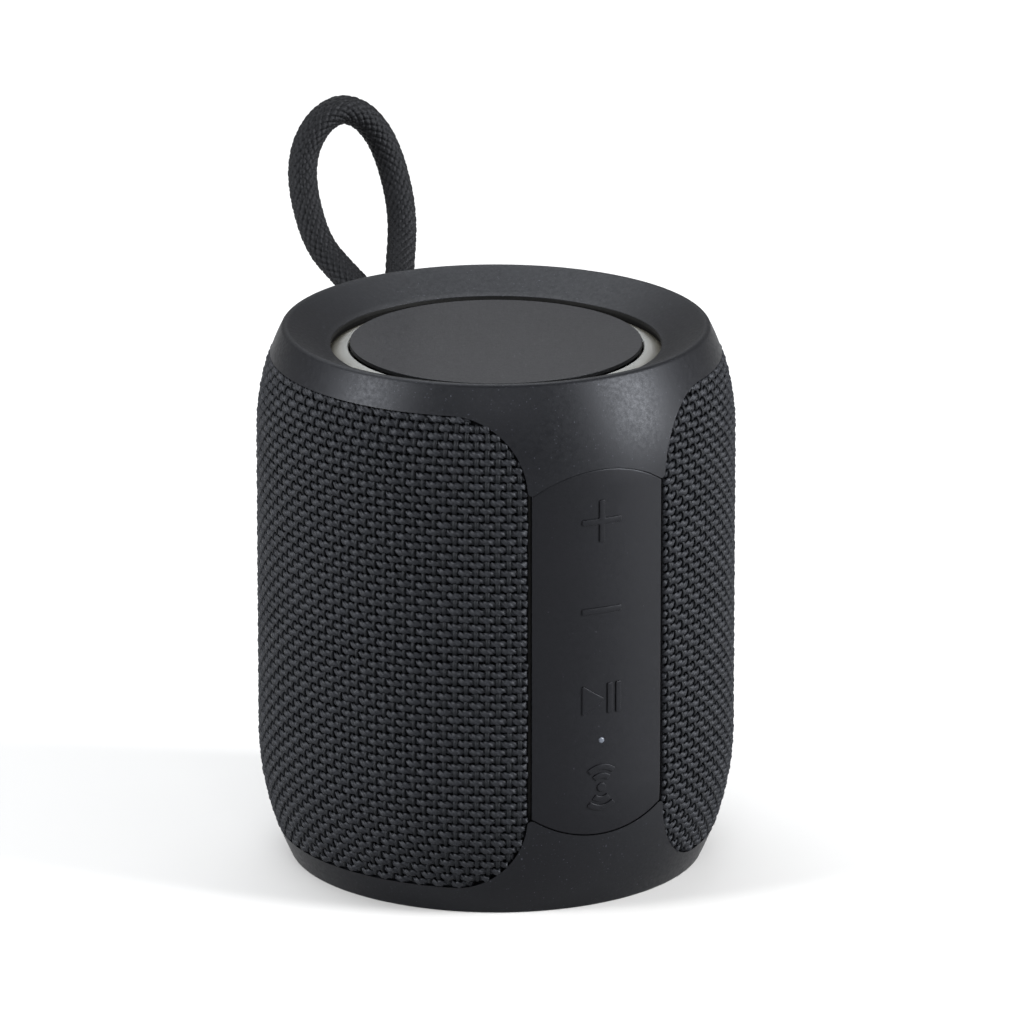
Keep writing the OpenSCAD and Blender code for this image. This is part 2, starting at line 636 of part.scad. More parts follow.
module enclosure_body() color(black_plastic) difference() {
    union() {
        difference() {
            translate([0, 0, lid_z[1] + gasket_t])
                cylinder(r = enclosure_r, h = enclosure_top_z - lid_z[1] - gasket_t);
            cylinder(r = enclosure_r - enclosure_wall, h = enclosure_top_z - enclosure_wall);
            cylinder(r = radiator_bore_r, h = 120);
        }
        for (side = [-1, 1]) to_side(side, driver_z)
            translate([0, 0, seat_in_x]) cylinder(r = seat_r, h = seat_x - seat_in_x);
        for (a = lid_screw_as) rotate([0, 0, a])
            translate([lid_screw_r, 0, lid_z[1] + gasket_t + 1]) difference() {
                cylinder(r = 3.2, h = 9);
                translate([0, 0, -1]) cylinder(r = 1.15, h = 9);
            }
        // standing ring under the light board
        ring(30, 31.5, enclosure_top_z - eps, led_board_z);
    }
    for (side = [-1, 1]) to_side(side, driver_z) {
        cylinder(r = seat_bore_r, h = 50);
        translate([0, 0, seat_x]) cylinder(r = seat_r + 0.3, h = 20);
        for (a = driver_screw_as) rotate([0, 0, a])
            translate([driver_screw_r, 0, 28.5]) cylinder(r = 0.85, h = 10);
    }
}
module enclosure_lid() color(black_plastic) difference() {
    translate([0, 0, lid_z[0]]) cylinder(r = enclosure_r, h = lid_z[1] - lid_z[0]);
    for (a = lid_screw_as) rotate([0, 0, a]) translate([lid_screw_r, 0, 0]) cylinder(r = 1.3, h = 20);
}
module enclosure_gasket() color(rubber_black)
    ring(enclosure_r - enclosure_wall, enclosure_r, lid_z[1], lid_z[1] + gasket_t);
module enclosure_screws() color(steel) for (a = lid_screw_as)
    rotate([0, 0, a]) translate([lid_screw_r, 0, 0]) {
        translate([0, 0, lid_z[0] - 1.4]) cylinder(r = 2.2, h = 1.4);
        translate([0, 0, lid_z[0]]) cylinder(r = 1.1, h = 10);
    }

battery_r = 9.2;
battery_h = 65;
battery_z = 14.2;
module battery_cell() color([0.16, 0.30, 0.55]) translate([0, 0, battery_z]) {
    cylinder(r = battery_r, h = battery_h - 1);
    cylinder(r = 3, h = battery_h);
}
module battery_cradle() color(black_plastic) difference() {
    translate([0, 0, lid_z[1]]) cylinder(r = battery_r + 1.6, h = 14);
    translate([0, 0, battery_z - 0.05]) cylinder(r = battery_r + 0.1, h = 20);
}

// ---------------------------------------------------------------- drivers
// They are drawn along +Z from the middle of the speaker

flange_t = 1.6;
flange_low = seat_x + 0.4;
flange_top = flange_low + flange_t;
module basket(side) color(black_plastic) to_side(side, driver_z) difference() {
    rotate_extrude() polygon([
        [22, flange_top], [22, flange_low], [18.9, flange_low], [14.6, 21.5], [14.6, 19.6], [7.2, 19.6],
        [7.2, 20.6], [13.4, 20.6], [13.4, 21.8], [17.8, flange_low + 0.4], [17.8, flange_top]]);
    for (a = driver_screw_as) rotate([0, 0, a]) translate([driver_screw_r, 0, 30]) cylinder(r = 0.9, h = 10);
    // windows in the cone-shaped wall
    for (a = [0:60:300]) rotate([0, 0, a]) translate([10, -2.5, 24]) cube([10, 5, 7]);
}
module magnet(side) color(steel) to_side(side, driver_z) rotate_extrude() polygon([
    [0, 11.4], [13, 11.4], [13, 19.6], [7.0, 19.6], [7.0, 13.0], [5.2, 13.0], [5.2, 20.8], [0, 20.8]]);
module cone(side) color(cone_grey) to_side(side, driver_z) rotate_extrude() polygon([
    [5.8, 15], [6.2, 15], [6.2, 22.6], [15.6, 34.6], [15.6, 35.0], [14.4, 35.0], [14.4, 34.6], [5.8, 23.2]]);
cap_a = 50;
cap_sphere_r = 6.2 / sin(cap_a);
module dust_cap(side) color(cone_grey) to_side(side, driver_z)
    translate([0, 0, 23.7 - cap_sphere_r * cos(cap_a)]) rotate_extrude() polygon(concat(
        arc_points([0, 0], cap_sphere_r, 90, 90 - cap_a, 6),
        arc_points([0, 0], cap_sphere_r - 0.4, 90 - cap_a, 90, 6)));
roll_c = [16.95, flange_top - 0.3];
module driver_surround(side) color(rubber_black) to_side(side, driver_z) rotate_extrude() polygon(concat(
    [[19.2, flange_top], [19.2, flange_top + 0.35]],
    arc_points(roll_c, 1.5, 25, 165, 8),
    [[15.2, 35.5], [14.6, 35.5], [14.6, 35.05], [15.7, 35.05]],
    arc_points(roll_c, 1.15, 165, 15, 8),
    [[18.2, flange_top]]));
module driver_gasket(side) color(rubber_black) to_side(side, driver_z) difference() {
    ring(seat_bore_r, 22, seat_x, flange_low);
    for (a = driver_screw_as) rotate([0, 0, a]) translate([driver_screw_r, 0, 30]) cylinder(r = 0.9, h = 10);
}
module driver_screws(side) color(steel) to_side(side, driver_z)
    for (a = driver_screw_as) rotate([0, 0, a]) translate([driver_screw_r, 0, 0]) {
        translate([0, 0, 29]) cylinder(r = 0.8, h = flange_top - 29);
        translate([0, 0, flange_top]) cylinder(r = 1.3, h = 0.9);
    }

// ---------------------------------------------------------------- nodes

frame_skin();
frame_core();
base_cap();
foot_ring();
base_screws();
cloth_panel(-1);  // left_fabric
cloth_panel(1);  // right_fabric
grille(-1);  // left_grille
grille(1);  // right_grille
button_pad();
key(0);  // key_volume_up
key(1);  // key_volume_down
key(2);  // key_play
key(3);  // key_pairing
stem(0);  // stem_volume_up
stem(1);  // stem_volume_down
stem(2);  // stem_play
stem(3);  // stem_pairing
tact_switches();
key_board();
status_led();
status_light_pipe();
light_diffuser();
led_board();
ring_leds();
radiator_disc();
radiator_weight();
radiator_surround();
radiator_ring();
radiator_gasket();
enclosure_body();
enclosure_lid();
enclosure_gasket();
enclosure_screws();
basket(-1);  // left_basket
basket(1);  // right_basket
magnet(-1);  // left_magnet
magnet(1);  // right_magnet
cone(-1);  // left_cone
cone(1);  // right_cone
dust_cap(-1);  // left_dust_cap
dust_cap(1);  // right_dust_cap
driver_surround(-1);  // left_surround
driver_surround(1);  // right_surround
driver_gasket(-1);  // left_driver_gasket
driver_gasket(1);  // right_driver_gasket
driver_screws(-1);  // left_driver_screws
driver_screws(1);  // right_driver_screws
battery_cell();
battery_cradle();
main_board();
board_chips();
board_screws();
usb_socket();
socket_seal();
port_flap();
loop_pin();
loop_end_block();
hanging_loop();
ribbon_cable();
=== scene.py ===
"""Looks of the shower speaker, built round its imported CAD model.

Shapes are worked out in millimetres and turned into metres when a mesh is made. Places on the
barrel are given as (u, w, depth): u is the distance round the barrel at its largest radius, from
the middle of the back, positive towards +X; w is the height on the flank; depth is how far below
the outer surface a point lies, along the surface's normal.
"""

import math

import bmesh
import bpy
import numpy as np
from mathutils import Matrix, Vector
from mathutils.geometry import delaunay_2d_cdt


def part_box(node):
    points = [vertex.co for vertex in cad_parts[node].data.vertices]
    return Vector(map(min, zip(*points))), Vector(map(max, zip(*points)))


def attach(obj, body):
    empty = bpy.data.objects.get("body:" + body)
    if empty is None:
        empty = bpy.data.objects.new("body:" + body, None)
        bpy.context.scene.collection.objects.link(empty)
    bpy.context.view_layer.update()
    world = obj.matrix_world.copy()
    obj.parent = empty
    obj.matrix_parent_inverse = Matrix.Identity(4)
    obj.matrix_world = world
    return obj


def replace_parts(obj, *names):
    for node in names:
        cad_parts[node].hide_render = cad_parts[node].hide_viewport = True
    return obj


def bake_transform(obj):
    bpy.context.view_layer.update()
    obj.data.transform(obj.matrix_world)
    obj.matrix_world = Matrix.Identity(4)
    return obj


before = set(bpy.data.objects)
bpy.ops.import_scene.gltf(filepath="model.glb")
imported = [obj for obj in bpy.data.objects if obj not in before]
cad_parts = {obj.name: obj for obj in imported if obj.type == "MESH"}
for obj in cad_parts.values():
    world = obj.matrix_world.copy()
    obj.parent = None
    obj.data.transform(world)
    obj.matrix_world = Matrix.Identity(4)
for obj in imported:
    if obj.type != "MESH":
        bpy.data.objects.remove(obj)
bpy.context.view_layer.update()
MM = 0.001

# ---- camera

AIM = Vector((2.71, -1.32, 66.4)) * MM
AZIMUTH, ELEVATION = math.radians(-26), math.radians(17.5)
DISTANCE = 2.1
LENS = 391


def make_camera():
    """The photographer's place, with a long lens."""
    data = bpy.data.cameras.new("camera")
    data.lens = LENS
    data.clip_end = 50
    camera = bpy.data.objects.new("camera", data)
    bpy.context.scene.collection.objects.link(camera)
    back = Vector((math.sin(AZIMUTH) * math.cos(ELEVATION),
                   -math.cos(AZIMUTH) * math.cos(ELEVATION), math.sin(ELEVATION)))
    camera.location = AIM + back * DISTANCE
    camera.rotation_euler = (-back).to_track_quat("-Z", "Y").to_euler()
    bpy.context.scene.camera = camera


make_camera()

# ---- materials


SOCKETS = {
    "specular": "Specular IOR Level", "specular_tint": "Specular Tint", "coat": "Coat Weight",
    "metallic": "Metallic", "subsurface": "Subsurface Weight",
    "subsurface_radius": "Subsurface Radius", "subsurface_scale": "Subsurface Scale",
}


def shader_of(material):
    return next(n for n in material.node_tree.nodes if n.type == "BSDF_PRINCIPLED")


def new_material(name, colour, roughness, **sockets):
    """A Principled material. Uniform values are set on the shader's own sockets."""
    material = bpy.data.materials.new(name)
    material.use_nodes = True
    shader = shader_of(material)
    shader.inputs["Base Color"].default_value = (*colour, 1)
    shader.inputs["Roughness"].default_value = roughness
    for name, value in sockets.items():
        shader.inputs[SOCKETS[name]].default_value = value
    return material


def node(material, kind, **values):
    """Adds a node; values are its properties or, when it has a socket of that name, its sockets."""
    made = material.node_tree.nodes.new(kind)
    for name, value in values.items():
        label = name.replace("_", " ").title()
        if label in made.inputs:
            made.inputs[label].default_value = value
        else:
            setattr(made, name, value)
    return made


def link(source, target):
    target.id_data.links.new(source, target)


def object_place(material, stretch=(1, 1, 1)):
    """Object coordinates, stretched."""
    place = node(material, "ShaderNodeTexCoord")
    mapping = node(material, "ShaderNodeMapping")
    mapping.inputs["Scale"].default_value = stretch
    link(place.outputs["Object"], mapping.inputs["Vector"])
    return mapping.outputs["Vector"]


def noise(material, size, detail=2.0, roughness=0.5, stretch=(1, 1, 1)):
    """Noise whose features are about size millimetres."""
    made = node(material, "ShaderNodeTexNoise", scale=1 / (size * MM), detail=detail,
                roughness=roughness)
    link(object_place(material, stretch), made.inputs["Vector"])
    return made.outputs["Fac"]


def ramp(material, source, stops):
    """Colour ramp through (position, colour) stops; a number stands for a grey."""
    made = node(material, "ShaderNodeValToRGB")
    elements = made.color_ramp.elements
    while len(elements) < len(stops):
        elements.new(0.5)
    for element, (position, colour) in zip(elements, stops):
        element.position = position
        element.color = (*colour, 1) if hasattr(colour, "__len__") else (colour, colour, colour, 1)
    link(source, made.inputs["Fac"])
    return made.outputs["Color"]


def mixed(material, fac, first, second, blend="MIX"):
    """Mix of two colours; each is a colour or an output."""
    made = node(material, "ShaderNodeMix", data_type="RGBA", blend_type=blend)
    for socket, value in ((made.inputs[0], fac), (made.inputs[6], first), (made.inputs[7], second)):
        if isinstance(value, bpy.types.NodeSocket):
            link(value, socket)
        else:
            socket.default_value = (*value, 1) if hasattr(value, "__len__") else value
    return made.outputs[2]


def bumps(material, *layers):
    """Chains bump layers of (height output, depth in millimetres) into the shader's normal."""
    last = None
    for height, depth in layers:
        made = node(material, "ShaderNodeBump", distance=depth * MM)
        made.inputs["Strength"].default_value = 1.0
        link(height, made.inputs["Height"])
        if last is not None:
            link(last, made.inputs["Normal"])
        last = made.outputs["Normal"]
    link(last, shader_of(material).inputs["Normal"])


def to_shader(material, output, socket):
    link(output, shader_of(material).inputs[socket])


COOL = (0.87, 0.91, 1.0, 1.0)
GRAIN = 0.30
GRAIN_DEPTH = 0.010
SPECK_EDGE = 0.07


def speckled(name, colour, roughness, rarity, specular):
    """Matte coat with a fine grain, sparse pale specks and slow variation over the surface. The
    specks are where a noise passes rarity."""
    material = new_material(name, colour, roughness, specular_tint=COOL, specular=specular)
    dark = [c * 0.80 for c in colour]
    light = [c * 1.22 for c in colour]
    fine = ramp(material, noise(material, GRAIN, 3), [(0.34, dark), (0.5, colour), (0.68, light)])
    slow = ramp(material, noise(material, 22, 2), [(0.3, 0.92), (0.7, 1.08)])
    coat = mixed(material, 1.0, fine, slow, "MULTIPLY")
    specks = ramp(material, noise(material, GRAIN, 0), [(rarity, 0.0), (rarity + SPECK_EDGE, 1.0)])
    pale = [min(0.3, c * 12) for c in colour]
    to_shader(material, mixed(material, specks, coat, pale), "Base Color")
    rough = ramp(material, noise(material, GRAIN * 2.5, 2),
                 [(0.3, roughness - 0.06), (0.7, roughness + 0.06)])
    to_shader(material, rough, "Roughness")
    bumps(material, (noise(material, GRAIN, 4, 0.6), GRAIN_DEPTH), (noise(material, 9, 1), 0.004))
    return material


def moulded(name, colour, roughness, depth=0.02, **sockets):
    """Moulded plastic or rubber: fine texture, faint marbling and uneven gloss."""
    material = new_material(name, colour, roughness, **sockets)
    tone = ramp(material, noise(material, 6, 4),
                [(0.3, [c * 0.85 for c in colour]), (0.7, [min(1, c * 1.15) for c in colour])])
    to_shader(material, tone, "Base Color")
    rough = ramp(material, noise(material, 1.2, 3),
                 [(0.3, roughness - 0.05), (0.7, roughness + 0.07)])
    to_shader(material, rough, "Roughness")
    bumps(material, (noise(material, 0.35, 3), depth))
    return material


def yarn_material(name, colour, size, stretch, specular=0.17):
    """Dyed yarn: fibres that run along stretch's short axis, with lighter and darker plies."""
    material = new_material(name, colour, 0.52, specular=specular, specular_tint=COOL)
    fibre = noise(material, size, 3, 0.6, stretch)
    tone = ramp(material, fibre, [(0.30, [c * 0.45 for c in colour]), (0.52, colour),
                                  (0.74, [c * 1.9 for c in colour])])
    patch = ramp(material, noise(material, 1.6, 2), [(0.3, 0.75), (0.7, 1.3)])
    to_shader(material, mixed(material, 1.0, tone, patch, "MULTIPLY"), "Base Color")
    bumps(material, (fibre, 0.05))
    return material


RING_IN_R, RING_OUT_R = 27.8, 31.8


def milky_material():
    """Translucent diffuser: light, darker towards its outer edge through painted shade, and a
    little yellower there.
    """
    material = new_material("milky_plastic", (0.30, 0.30, 0.29), 0.38, subsurface=0.25,
                            subsurface_radius=(0.004, 0.0038, 0.0034), subsurface_scale=1.0,
                            specular=0.4)
    # Painted shade: the colour darkens from the ring's inner edge to its outer edge, where the lip
    # overhangs it, and turns a little yellower there.
    length = node(material, "ShaderNodeVectorMath", operation="LENGTH")
    link(object_place(material, (1, 1, 0)), length.inputs[0])
    outward = node(material, "ShaderNodeMapRange", from_min=RING_IN_R * MM,
                   from_max=RING_OUT_R * MM)
    link(length.outputs["Value"], outward.inputs["Value"])
    tone = ramp(material, outward.outputs["Result"],
                [(0.0, (0.19, 0.195, 0.19)), (0.35, (0.16, 0.16, 0.152)),
                 (0.7, (0.088, 0.083, 0.068)), (1.0, (0.045, 0.040, 0.030))])
    cloud = ramp(material, noise(material, 7, 3), [(0.3, 0.94), (0.7, 1.04)])
    to_shader(material, mixed(material, 1.0, tone, cloud, "MULTIPLY"), "Base Color")
    bumps(material, (noise(material, 0.5, 2), 0.008))
    return material


def disc_material():
    """Matte paint on the radiator's face, with painted shade: its edge and underside, which turn
    away from the light, are near-black.
    """
    material = speckled("disc_paint", (0.0085, 0.0085, 0.0095), 0.42, 0.84, 0.21)
    painted = shader_of(material).inputs["Base Color"].links[0].from_socket
    # Painted shade: the colour turns near-black where the surface faces sideways or down.
    normal = node(material, "ShaderNodeNewGeometry")
    parts = node(material, "ShaderNodeSeparateXYZ")
    link(normal.outputs["True Normal"], parts.inputs["Vector"])
    face = ramp(material, parts.outputs["Z"], [(0.80, 0.0), (0.97, 1.0)])
    to_shader(material, mixed(material, face, (0.001, 0.001, 0.001), painted), "Base Color")
    return material


def board_material():
    """Solder mask over copper tracks."""
    material = new_material("circuit_board", (0.02, 0.12, 0.06), 0.35, coat=0.3)
    tracks = node(material, "ShaderNodeTexBrick", scale=320.0)
    link(object_place(material), tracks.inputs["Vector"])
    tracks.inputs["Color1"].default_value = (0.012, 0.085, 0.045, 1)
    tracks.inputs["Color2"].default_value = (0.016, 0.10, 0.05, 1)
    tracks.inputs["Mortar"].default_value = (0.03, 0.16, 0.07, 1)
    to_shader(material, tracks.outputs["Color"], "Base Color")
    bumps(material, (noise(material, 0.6, 2), 0.01))
    return material


def steel_material():
    """Plated steel with a fine brushed grain."""
    material = new_material("steel", (0.60, 0.60, 0.61), 0.3, metallic=1.0)
    brushed = noise(material, 0.5, 3, 0.6, (1, 8, 8))
    to_shader(material, ramp(material, brushed, [(0.3, 0.24), (0.7, 0.42)]), "Roughness")
    tone = ramp(material, brushed, [(0.3, (0.52, 0.52, 0.53)), (0.7, (0.66, 0.66, 0.67))])
    to_shader(material, tone, "Base Color")
    bumps(material, (brushed, 0.006))
    return material


FINISHES = {
    "soft_skin": speckled("soft_skin", (0.0026, 0.0027, 0.0034), 0.45, 0.79, 0.16),
    "key_rubber": speckled("key_rubber", (0.0028, 0.0028, 0.0035), 0.42, 0.86, 0.14),
    "disc_paint": disc_material(),
    "core_plastic": moulded("core_plastic", (0.004, 0.004, 0.004), 0.5, specular=0.15),
    "cloth": yarn_material("cloth_backing", (0.001, 0.001, 0.0012), 0.3, (1, 1, 1), 0.02),
    "braid": yarn_material("braid", (0.0030, 0.0030, 0.0033), 0.12, (1, 1, 1), 0.12),
    "seal_rubber": moulded("seal_rubber", (0.012, 0.012, 0.012), 0.6, specular=0.3),
    "milky_plastic": milky_material(),
    "circuit_board": board_material(),
    "cone_paper": moulded("cone_paper", (0.03, 0.03, 0.032), 0.75, 0.05),
    "battery_sleeve": moulded("battery_sleeve", (0.03, 0.09, 0.24), 0.3, 0.008, coat=0.4),
    "cable_film": moulded("cable_film", (0.02, 0.02, 0.02), 0.4, 0.01),
    "steel": steel_material(),
}
LENS_PLASTIC = moulded("status_lens", (0.060, 0.068, 0.085), 0.3, 0.004, specular=0.3)
WARP_YARN = yarn_material("warp_yarn", (0.0022, 0.0025, 0.0031), 0.22, (3, 3, 0.35), 0.14)
WEFT_YARN = yarn_material("weft_yarn", (0.0050, 0.0054, 0.0068), 0.20, (0.6, 0.6, 2.2), 0.20)


def finish_cad_nodes():
    """Gives every CAD node the procedural material of its slot."""
    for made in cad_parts.values():
        for i, material in enumerate(made.data.materials):
            made.data.materials[i] = FINISHES[material.name]


finish_cad_nodes()

# ---- meshes

MERGE = 0.004


def make_object(name, points, faces, slot, sharp=None, material=None):
    """A smooth mesh object from points in millimetres, with its slot's material unless another is
    given. sharp is the angle in degrees above which an edge stays sharp; with it, doubled points
    are merged and normals turned outwards."""
    mesh = bpy.data.meshes.new(name)
    mesh.from_pydata((np.asarray(points, float) * MM).tolist(), [],
                     [list(map(int, f)) for f in faces])
    if sharp is not None:
        work = bmesh.new()
        work.from_mesh(mesh)
        bmesh.ops.remove_doubles(work, verts=work.verts, dist=MERGE * MM)
        bmesh.ops.delete(work, geom=[v for v in work.verts if not v.link_faces], context="VERTS")
        bmesh.ops.recalc_face_normals(work, faces=work.faces)
        work.to_mesh(mesh)
        work.free()
    mesh.polygons.foreach_set("use_smooth", [True] * len(mesh.polygons))
    if sharp is not None:
        mesh.set_sharp_from_angle(angle=math.radians(sharp))
    mesh.materials.append(material or FINISHES[slot])
    made = bpy.data.objects.new(name, mesh)
    bpy.context.scene.collection.objects.link(made)
    return made


def grid_faces(rows, columns, closed=False):
    """Quads between the points of a rows by columns grid; closed joins its last column to the
    first."""
    index = np.arange(rows * columns).reshape(rows, columns)
    after = np.roll(index, -1, axis=1)
    if not closed:
        index, after = index[:, :-1], after[:, :-1]
    return np.stack([index[:-1], after[:-1], after[1:], index[1:]], -1).reshape(-1, 4)


def tube_faces(rows, sides):
    """Faces of a tube of rows rings, with both ends closed."""
    faces = [list(f) for f in grid_faces(rows, sides, closed=True)]
    return faces + [list(range(sides))[::-1], [(rows - 1) * sides + i for i in range(sides)]]


def even_odd(points, loops):
    """Which points lie inside the closed loops, counting crossings."""
    inside = np.zeros(len(points), bool)
    for loop in loops:
        a, b = loop, np.roll(loop, -1, axis=0)
        for (x0, y0), (x1, y1) in zip(a, b):
            if y0 == y1:
                continue
            crosses = (points[:, 1] > min(y0, y1)) & (points[:, 1] <= max(y0, y1))
            at = x0 + (points[:, 1] - y0) * (x1 - x0) / (y1 - y0)
            inside ^= crosses & (points[:, 0] < at)
    return inside


def is_near(points, targets, limit):
    """Whether each point is nearer than limit to any of the targets."""
    near = np.zeros(len(points), bool)
    for start in range(0, len(targets), 64):
        chunk = targets[start:start + 64]
        gap = points[:, None, :] - chunk[None, :, :]
        near |= (gap ** 2).sum(-1).min(1) < limit ** 2
    return near


def filled(loops, lines, grid, clearance):
    """Triangles between closed loops, with grid points kept clear of them. lines are the
    constrained polylines, closed loops among them, as (points, whether it closes). Returns the
    points used and the triangles."""
    edges, start = [], 0
    for line, closed in lines:
        count = len(line)
        edges += [(start + i, start + (i + 1) % count)
                  for i in range(count if closed else count - 1)]
        start += count
    border = np.array([p for line, _ in lines for p in line])
    if len(grid):
        grid = grid[even_odd(grid, loops)]
        grid = grid[~is_near(grid, border, clearance)]
    every = np.vstack([border, grid]) if len(grid) else border
    places, _, faces, *_ = delaunay_2d_cdt([Vector(p) for p in every], edges, [], 0, 1e-6)
    places = np.array([tuple(p) for p in places])
    faces = np.array([f for f in faces if len(f) == 3])
    middle = places[faces].mean(1)
    return places, faces[even_odd(middle, loops)]


class Sheets:
    """Collects the parts of one mesh."""

    def __init__(self):
        self.points, self.faces, self.count = [], [], 0

    def add(self, points, faces):
        self.points.append(np.asarray(points, float))
        self.faces += [[int(i) + self.count for i in f] for f in faces]
        self.count += len(points)

    def add_rings(self, rings, closed=True):
        self.add(np.vstack(rings), grid_faces(len(rings), len(rings[0]), closed=closed))

    def make(self, name, slot, sharp=None, material=None):
        return make_object(name, np.vstack(self.points), self.faces, slot, sharp, material)


# ---- the barrel

BODY_R, BODY_H = np.array(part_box("frame_skin")[1])[1:] / MM
HALF_TURN = math.pi * BODY_R
LOW_FLANK_Z, LOW_FLANK_R = 25.0, 55.5
HIGH_FLANK_Z, HIGH_FLANK_R = BODY_H - 20.1, 43.6
SKIN_T = 1.6
OPENING_R = 31.2
FUNNEL_DROP = 3.8
LIP_Z, LIP_T, LIP_ROUND = BODY_H - FUNNEL_DROP, 0.6, 0.15
RIM_R = 1.1
BASE_RING_R, BASE_RING_T, BASE_ROUND = 37.2, 2.4, 0.3
FOOT_Z = 0.5
SKIRT_R, SKIRT_T, SKIRT_Z = OPENING_R + 0.8, 1.6, BODY_H - 5.9
SHELF_Z = BODY_H - 4.2
INNER_TOP_Z = BODY_H - 3.0

WINDOW_HALF = math.radians(72) * BODY_R
WINDOW_Z0, WINDOW_Z1, WINDOW_CORNER = 5.2, BODY_H - 5.2, 15.0
PANEL_GAP = 0.5
PAD_HALF = math.radians(17.4) * BODY_R
PAD_Z0, PAD_Z1, PAD_ARC = 15.8, 87.4, 24.0
PAD_GAP = 0.34
FLAP_HALF = math.radians(10.8) * BODY_R + 0.35
FLAP_Z, FLAP_CORNER = (22.95, 36.35), 3.35
POCKET_HALF, POCKET_Z, POCKET_CORNER = 7.53, (80.5, 96.0), 2.5

TIP_R, TIP_STEP = 0.55, 0.12
STEP = 0.8
EDGE_R, SMALL_EDGE_R = 0.32, 0.25
EDGE_STEPS = 5
FLANK_ROWS, INNER_ROWS = 84, 34
SHELL_COLUMNS = 236


def flank(z):
    """Radius and outward normal of the barrel's flank at height z."""
    z = np.asarray(z, float)
    low, high = np.clip(LOW_FLANK_Z - z, 0, None), np.clip(z - HIGH_FLANK_Z, 0, None)
    radius = BODY_R - (LOW_FLANK_R - np.sqrt(LOW_FLANK_R ** 2 - low ** 2)) \
        - (HIGH_FLANK_R - np.sqrt(HIGH_FLANK_R ** 2 - high ** 2))
    tilt = -low / LOW_FLANK_R + high / HIGH_FLANK_R
    return radius, np.cos(np.arcsin(tilt)), tilt


def line_between(a, b):
    return lambda t: (a[0] + (b[0] - a[0]) * t, a[1] + (b[1] - a[1]) * t)


def legs(rows, *points):
    """Straight stretches from point to point, each with its number of rows."""
    return [(line_between(a, b), n) for n, a, b in zip(rows, points, points[1:])]


def bend_between(a, corner, b):
    """A quarter bend from a to b, drawn towards corner."""
    return lambda t: tuple((1 - t) ** 2 * a[i] + 2 * t * (1 - t) * corner[i] + t * t * b[i]
                           for i in (0, 1))


def arc_about(centre, radius, a0, a1):
    return lambda t: (centre[0] + radius * np.cos(a0 + (a1 - a0) * t),
                      centre[1] + radius * np.sin(a0 + (a1 - a0) * t))


def inner_flank(z):
    """Radius and height of the flank's inside behind height z."""
    radius, n_r, n_z = flank(z)
    return radius - SKIN_T * n_r, z - SKIN_T * n_z


def sampled(f, t):
    return (np.asarray(v) * np.ones(len(t)) for v in f(t))


def turned(radius, u, height):
    return np.stack([radius * np.sin(u / BODY_R), radius * np.cos(u / BODY_R), height], -1)


